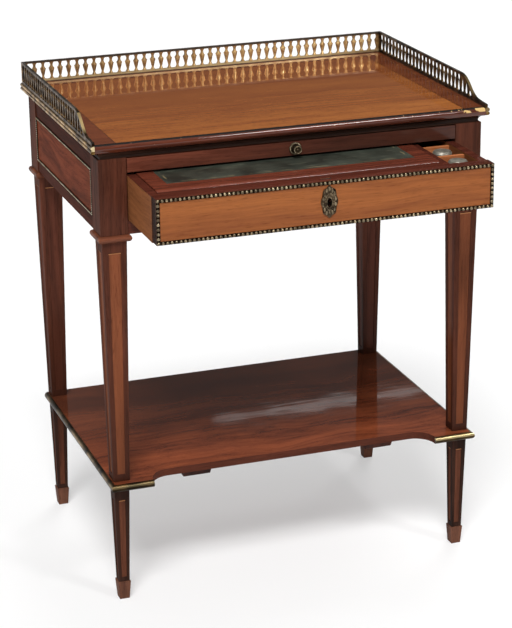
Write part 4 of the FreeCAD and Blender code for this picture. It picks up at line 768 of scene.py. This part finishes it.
# Drawer: a straight-grained front veneered in honey mahogany, with plainer waxed sides, back and bottom.
# The end grain of the front drank the polish and is nearly black.
# Ledge, divider and rims are dark and glossy, and the wells are pale waxed wood.
DRAWER_RIM_Z = 0.7
RIM_TILT = 0.3
SQUARE_ON = 0.9
drawer_polish = polished("mahogany_drawer_front_polish", "995B2F", "794324", X, roughness=0.38, coat=0.25,
                         coat_roughness=0.12, streak=0.004, sway=0.012)
ledge_polish = polished("mahogany_ledge_french_polish", "5E2E22", "361812", X, roughness=0.36, coat=0.6,
                        coat_roughness=0.08)
end_grain = polished("mahogany_end_grain_blackened", "33201A", "1C110D", Z, roughness=0.45, coat=0.2,
                     streak=0.004, figure=0.02, sway=0.005)
drawer_front = softened("drawer_front", "drawer", drawer_polish, arris=0.0005)
drawer_front.data.materials.append(ledge_polish)
drawer_front.data.materials.append(end_grain)
for face in drawer_front.data.polygons:
    if face.normal.y > -SQUARE_ON:
        face.material_index = 1
    if abs(face.normal.x) > SQUARE_ON:
        face.material_index = 2
carcase_wood = polished("mahogany_drawer_side_waxed", "8C5836", "683F26", Y, roughness=0.5, coat=0.15,
                        coat_roughness=0.3, streak=0.005, sway=0.02)
for node in ("drawer_side_left", "drawer_side_right", "drawer_back", "drawer_bottom", "panel_bearers"):
    board = softened(node, "drawer", carcase_wood, arris=0.0005)
    board.data.materials.append(ledge_polish)
    for face in board.data.polygons:
        if face.normal.z > RIM_TILT and face.center.z > DRAWER_RIM_Z:
            face.material_index = 1
for node in ("drawer_ledge", "drawer_divider"):
    softened(node, "drawer", ledge_polish, arris=0.0006)
well_wood = polished("mahogany_well_waxed", "B9744A", "94552F", X, roughness=0.5, coat=0.2,
                     coat_roughness=0.3, streak=0.005, figure=0.02)
for node in ("well_floor", "well_walls"):
    softened(node, "drawer", well_wood, arris=0.0005)

# Drawer bead: a bold pearled brass moulding, cast in lengths and pinned round the drawer front.
# It is bronzed dark between its worn pearls.
DRAWER_PEARL = 0.0027
DRAWER_EDGE = 0.0029
DRAWER_PITCH = 0.0068
PEARL_BEDDED = 0.0004
FILLET_IN = 0.0002
FILLET_WIDTH = 0.0056
FILLET_THICK = 0.001
bead_low, bead_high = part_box("drawer_bead")
bead_middle = (bead_low + bead_high) / 2
bpy.ops.object.select_all(action="DESELECT")
bpy.ops.mesh.primitive_plane_add(size=1, location=(bead_middle.x, bead_high.y, bead_middle.z),
                                 rotation=(math.radians(90), 0, 0))
fillet = bpy.context.active_object
fillet.name = "drawer_bead_fillet"
fillet.scale = (bead_high.x - bead_low.x - 2 * FILLET_IN, bead_high.z - bead_low.z - 2 * FILLET_IN, 1)
bpy.ops.object.transform_apply()
edit_all()
bpy.ops.mesh.inset(thickness=FILLET_WIDTH)
bpy.ops.mesh.delete(type="FACE")
bpy.ops.mesh.select_all(action="SELECT")
bpy.ops.mesh.extrude_region_move(TRANSFORM_OT_translate={"value": (0, -FILLET_THICK, 0)})
leave_edit()
bead_bronze = aged_metal("brass_bead_bronzed", "281E15", "120D09", patch=0.01, roughness=0.45)
fillet.data.materials.append(bead_bronze)
pearl_corner = (bead_low.x + DRAWER_EDGE, bead_high.y - FILLET_THICK + PEARL_BEDDED, bead_low.z + DRAWER_EDGE)
pearl_across = (bead_high.x - bead_low.x - 2 * DRAWER_EDGE, 0, 0)
pearl_up = (0, 0, bead_high.z - bead_low.z - 2 * DRAWER_EDGE)
drawer_pearls = pearl_frame(pearl_corner, pearl_across, pearl_up, DRAWER_PEARL, DRAWER_PITCH, (0, -1, 0),
                            faces=12)
drawer_pearls.name = "drawer_pearls"
pearl_brass = aged_metal("brass_pearl_worn", "AC9C7E", "5C5040", patch=0.008, roughness=0.24)
drawer_pearls.data.materials.append(pearl_brass)
for piece in (fillet, drawer_pearls):
    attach(piece, "drawer")
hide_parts("drawer_bead")

# Lock: an iron case let into the back of the drawer front, its bolt, and a cast brass escutcheon.
# The escutcheon has a rim of leaves, a ring of beads and a raised collar round the keyhole.
RELIEF_BEDDED = 0.0002
LEAF_STRETCH = (1, 0.6, 1.85)
KEYHOLE_MIDDLE_Z = 0.6775
COLLAR_HALF = 0.0046
COLLAR_STRETCH = 1.75
dress(old_iron, "lock_case", "lock_bolt")
plate_low, plate_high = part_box("escutcheon")
plate_middle = Vector((0, plate_low.y + RELIEF_BEDDED, (plate_low.z + plate_high.z) / 2))
escutcheon_brass = aged_metal("brass_escutcheon_bronzed", "544636", "261D16", patch=0.012, roughness=0.34)
softened("escutcheon", "drawer", escutcheon_brass, arris=0.0006)
leaf_brass = aged_metal("brass_escutcheon_rubbed", "96866C", "40352A", patch=0.006)
leaves = bead_ring("escutcheon_leaves", plate_middle, ring_radius=0.0101, bead_radius=0.0019, count=14,
                   finish=leaf_brass)
inner_beads = bead_ring("escutcheon_inner_beads", plate_middle, ring_radius=0.0069, bead_radius=0.0009,
                        count=20, finish=leaf_brass)
for ring in (leaves, inner_beads):
    pick(ring)
    edit_all()
    bpy.ops.transform.resize(value=LEAF_STRETCH, center_override=plate_middle)
    bpy.ops.object.mode_set(mode="OBJECT")
bpy.ops.object.select_all(action="DESELECT")
bpy.ops.mesh.primitive_torus_add(major_segments=28, minor_segments=8, major_radius=COLLAR_HALF,
                                 minor_radius=0.0008, location=(0, plate_middle.y, KEYHOLE_MIDDLE_Z),
                                 rotation=(math.radians(90), 0, 0))
key_collar = bpy.context.active_object
key_collar.name = "keyhole_collar"
key_collar.scale = (1, COLLAR_STRETCH, 1)
bpy.ops.object.transform_apply()
bpy.ops.object.shade_smooth()
key_collar.data.materials.append(leaf_brass)
for piece in (leaves, inner_beads, key_collar):
    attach(piece, "drawer")

# Inside the collar the plate is painted nearly black round the keyhole, as painted shade.
KEYHOLE_SHADE_HALF = 0.008
tree = escutcheon_brass.node_tree
plate_place = add(tree, "TexCoord", {}, "Object")
from_hole = add(tree, "Mapping", {"Vector": plate_place, "Location": (0, 0, -KEYHOLE_MIDDLE_Z / KEYHOLE_SHADE_HALF),
                                  "Scale": (1 / COLLAR_HALF, 0, 1 / KEYHOLE_SHADE_HALF)})
from_hole = add(tree, "VectorMath", {0: from_hole}, "Value", operation="LENGTH")
# Painted shade round the keyhole.
sunk = add(tree, "MapRange", {0: from_hole, "From Min": 1.0, "From Max": 0.85})
tint(escutcheon_brass, sunk, "0C0906")

# Writing panel: a mahogany frame with a rounded front edge, and a green leather let into it.
# The leather is a pebbled hide, faded and scuffed, with the last of a gilt line tooled round its edge.
PEBBLE = 0.0016
FADED_PATCH = 0.05
SCUFF = (1 / 0.02, 1 / 0.005, 1)
TOOLED_IN = 0.007
TOOLED_HALF = 0.0009
GILT_PATCH = 0.02
panel_polish = polished("mahogany_writing_panel_polish", "743A29", "461F17", X, roughness=0.36, coat=0.6,
                        coat_roughness=0.08, sway=0.02)
softened("writing_panel", "panel", panel_polish, arris=0.0006)
leather_looks = {"Roughness": 0.42, "Specular IOR Level": 0.4}
green_leather, tree, shader = new_material("leather_green_faded", leather_looks)
leather_place = add(tree, "TexCoord", {}, "Object")
faded = add(tree, "TexNoise", {"Vector": leather_place, "Scale": 1 / FADED_PATCH, "Detail": 5.0})
faded = add(tree, "MapRange", {0: faded, "From Min": 0.35, "From Max": 0.65})
hide = add(tree, "Mix", {0: faded, 6: linear("21251F"), 7: linear("3E433A")}, 2, data_type="RGBA")
tree.links.new(hide, shader.inputs["Base Color"])
dragged = add(tree, "Mapping", {"Vector": leather_place, "Scale": SCUFF})
scuffs = add(tree, "TexNoise", {"Vector": dragged, "Scale": 1.0, "Detail": 4.0})
scuffs = add(tree, "MapRange", {0: scuffs, "From Min": 0.58, "From Max": 0.72, "To Max": 0.45})
tint(green_leather, scuffs, "6C6C5C")
leather_low, leather_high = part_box("writing_leather")
leather_axes = axes_of(tree)
from_edges = []
for axis in (X, Y):
    after = add(tree, "Math", {0: leather_axes[axis], 1: leather_low[axis]}, operation="SUBTRACT")
    before = add(tree, "Math", {0: leather_high[axis], 1: leather_axes[axis]}, operation="SUBTRACT")
    from_edges.append(add(tree, "Math", {0: after, 1: before}, operation="MINIMUM"))
from_edge = add(tree, "Math", {0: from_edges[0], 1: from_edges[1]}, operation="MINIMUM")
tooled = add(tree, "Math", {0: from_edge, 1: TOOLED_IN, 2: TOOLED_HALF}, operation="COMPARE")
gilt_left = add(tree, "TexNoise", {"Vector": leather_place, "Scale": 1 / GILT_PATCH, "Detail": 3.0})
gilt_left = add(tree, "MapRange", {0: gilt_left, "From Min": 0.45, "From Max": 0.6, "To Max": 0.7})
gilt_line = add(tree, "Math", {0: tooled, 1: gilt_left}, operation="MULTIPLY")
tint(green_leather, gilt_line, "9A8A62")
pebbles = add(tree, "TexVoronoi", {"Vector": leather_place, "Scale": 1 / PEBBLE}, "Distance")
pebbled = add(tree, "Bump", {"Strength": 0.4, "Distance": 0.0003, "Height": pebbles})
tree.links.new(pebbled, shader.inputs["Normal"])
dress(green_leather, "writing_leather")

# Inkwells: square bottles of moulded glass, slightly wavy, each with a round neck and ink inside.
# One ink is red and the other black; the last of each has dried in streaks on its surface.
GLASS_SWELL = 0.012
INK_STREAK = 0.008
INKS = (("front", "B01A30", "6E0C1C"), ("rear", "17140F", "2C2519"))
CAP_OUTLINE = (
    (0, 0.0068), (0.0123, 0.0068), (0.0123, 0), (0.01425, 0), (0.01425, 0.003), (0.015, 0.0034),
    (0.0154, 0.0042), (0.0154, 0.0074), (0.015, 0.0082), (0.0141, 0.0086), (0.0138, 0.0096), (0.0134, 0.0103),
    (0.0128, 0.0106), (0.0104, 0.0106), (0.0101, 0.0103), (0.0097, 0.0106), (0.0058, 0.0109),
    (0.0055, 0.0107), (0.0051, 0.011), (0, 0.0113),
)
glass_looks = {"Base Color": linear("F2F7F4"), "Roughness": 0.03, "IOR": 1.5, "Transmission Weight": 1.0}
clear_glass, tree, shader = new_material("glass_moulded_clear", glass_looks)
glass_place = add(tree, "TexCoord", {}, "Object")
swell = add(tree, "TexNoise", {"Vector": glass_place, "Scale": 1 / GLASS_SWELL, "Detail": 1.0})
wavy = add(tree, "Bump", {"Strength": 0.15, "Distance": 0.0005, "Height": swell})
tree.links.new(wavy, shader.inputs["Normal"])

# Pewter is soft and grey, dulled by fingers, with fine rings left by the lathe on the top of each cap.
pewter = aged_metal("pewter_turned", "B4AFA2", "7E796D", patch=0.012, roughness=0.46, metallic=0.8)
for name, fresh, dried in INKS:
    softened("inkwell_" + name, name + "_inkwell", clear_glass, arris=0.0005)
    cap_low, cap_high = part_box("inkwell_cap_" + name)
    cap_foot = Vector(((cap_low.x + cap_high.x) / 2, (cap_low.y + cap_high.y) / 2, cap_low.z))
    cap = turned("inkwell_cap_" + name + "_turned", CAP_OUTLINE, cap_foot, Vector((0, 0, 1)), pewter)
    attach(cap, name + "_cap")
    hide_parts("inkwell_cap_" + name)
    ink, tree, shader = new_material("ink_" + name, {"Roughness": 0.12})
    ink_place = add(tree, "TexCoord", {}, "Object")
    streaks = add(tree, "TexNoise", {"Vector": ink_place, "Scale": 1 / INK_STREAK, "Detail": 3.0})
    streaks = add(tree, "MapRange", {0: streaks, "From Min": 0.45, "From Max": 0.65})
    ink_colour = add(tree, "Mix", {0: streaks, 6: linear(fresh), 7: linear(dried)}, 2, data_type="RGBA")
    tree.links.new(ink_colour, shader.inputs["Base Color"])
    dress(ink, "ink_" + name)

# Studio: a white paper floor in a dim room, pale at the horizon and overhead.
# A wide soft light stands high in front on the left, a weak one on the right, and a third behind.
# A strip light far behind shows in the shelf's polish, and a white card in front in the back gallery alone.
FLOOR_LIFT = 0.4
bpy.ops.object.select_all(action="DESELECT")
bpy.ops.mesh.primitive_plane_add(size=200, location=(0, 0, 0))
floor = bpy.context.active_object
floor.name = "paper_floor"
paper_looks = {"Base Color": linear("EEEEEE"), "Roughness": 0.9, "Specular IOR Level": 0.0}
paper, tree, shader = new_material("paper_white", paper_looks)
rays = add(tree, "LightPath", {}).node.outputs
seen = rays["Is Camera Ray"]
for ray in ("Is Glossy Ray", "Is Transmission Ray"):
    seen = add(tree, "Math", {0: seen, 1: rays[ray]}, operation="MAXIMUM")
lift = add(tree, "Math", {0: seen, 1: FLOOR_LIFT}, operation="MULTIPLY")
white = add(tree, "Emission", {"Strength": 1.0})
lifted = add(tree, "MixShader", {0: lift, 1: shader.outputs[0], 2: white})
tree.links.new(lifted, tree.nodes["Material Output"].inputs["Surface"])
floor.data.materials.append(paper)

# Each level of the room is the sine of its height and its strength.
ROOM_LEVELS = ((0.0, 1.0), (0.14, 1.0), (0.21, 0.05), (0.29, 0.05), (0.34, 0.12), (0.375, 0.12), (0.4, 0.06),
               (0.5, 0.1), (0.8, 0.4))
world = bpy.data.worlds.new("studio")
world.use_nodes = True
bpy.context.scene.world = world
tree = world.node_tree
sky = add(tree, "TexCoord", {}, "Generated")
sky_height = add(tree, "SeparateXYZ", {0: sky}, Z)
level = add(tree, "ValToRGB", {0: sky_height})
ramp = level.node.color_ramp.elements
for i, (position, strength) in enumerate(ROOM_LEVELS):
    if i < 2:
        stop = ramp[i]
        stop.position = position
    else:
        stop = ramp.new(position)
    stop.color = (strength, strength, strength, 1)
tree.links.new(level, tree.nodes["Background"].inputs["Strength"])
tree.nodes["Background"].inputs["Color"].default_value = linear("FFFFFF")

# Each sun has a name, where it stands, its strength, its width in degrees, and whether polish mirrors it.
SUNS = (
    ("key_light", (-0.5, -1.05, 1.65), 2.8, 22, True),
    ("fill_light", (0.35, -0.55, 0.75), 0.5, 7, True),
    ("back_light", (0.7, 1.0, 0.85), 1.0, 30, False),
)
for name, stand, strength, width, mirrored in SUNS:
    sun = bpy.data.lights.new(name, "SUN")
    sun.energy = strength
    sun.angle = math.radians(width)
    sun_holder = bpy.data.objects.new(name, sun)
    sun_holder.rotation_euler = (-Vector(stand)).to_track_quat("-Z", "Y").to_euler()
    sun_holder.visible_glossy = mirrored
    bpy.context.scene.collection.objects.link(sun_holder)


def screen_light(name, shape, width, height, energy, stand, target):
    """A flat lamp turned to its target, which the camera doesn't see."""
    lamp = bpy.data.lights.new(name, "AREA")
    lamp.shape = shape
    lamp.size = width
    lamp.size_y = height
    lamp.energy = energy
    holder = bpy.data.objects.new(name, lamp)
    holder.location = stand
    holder.rotation_euler = (Vector(target) - Vector(stand)).to_track_quat("-Z", "Y").to_euler()
    holder.visible_camera = False
    bpy.context.scene.collection.objects.link(holder)
    return holder


screen_light("strip_light", "ELLIPSE", width=1.6, height=0.06, energy=0.19, stand=(3.3, 8.0, 3.66),
             target=(3.3, 0, 0))
card = screen_light("reflection_card", "RECTANGLE", width=1.4, height=0.8, energy=90.0,
                    stand=(1.9, -3.22, 1.7), target=(0.1, 0.22, 0.78))
card.visible_diffuse = False
card_shows_in = bpy.data.collections.new("card_shows_in")
card_shows_in.objects.link(frame["nodes"]["gallery_back"])
card_shows_in.objects.link(back_bars)
card.light_linking.receiver_collection = card_shows_in

# Camera: at the height of a standing person, to the left of the front, with a long lens.
# Its yaw, pitch and roll are in radians.
YAW = 0.335
PITCH = -0.339
ROLL = -0.012
CAMERA_AT = Vector((-1.1026, -3.1922, 1.57339))
ahead = Vector((math.sin(YAW) * math.cos(PITCH), math.cos(YAW) * math.cos(PITCH), math.sin(PITCH)))
level_right = Vector((math.cos(YAW), -math.sin(YAW), 0))
level_up = level_right.cross(ahead)
right = level_right * math.cos(ROLL) + level_up * math.sin(ROLL)
up = level_up * math.cos(ROLL) - level_right * math.sin(ROLL)
lens = bpy.data.cameras.new("camera")
lens.lens = 122.0
lens.sensor_width = 36.0
camera = bpy.data.objects.new("camera", lens)
camera_turn = Matrix((right, up, -ahead)).transposed()
camera.matrix_world = Matrix.Translation(CAMERA_AT) @ camera_turn.to_4x4()
bpy.context.scene.collection.objects.link(camera)
bpy.context.scene.camera = camera
bpy.context.scene.view_settings.view_transform = "Standard"
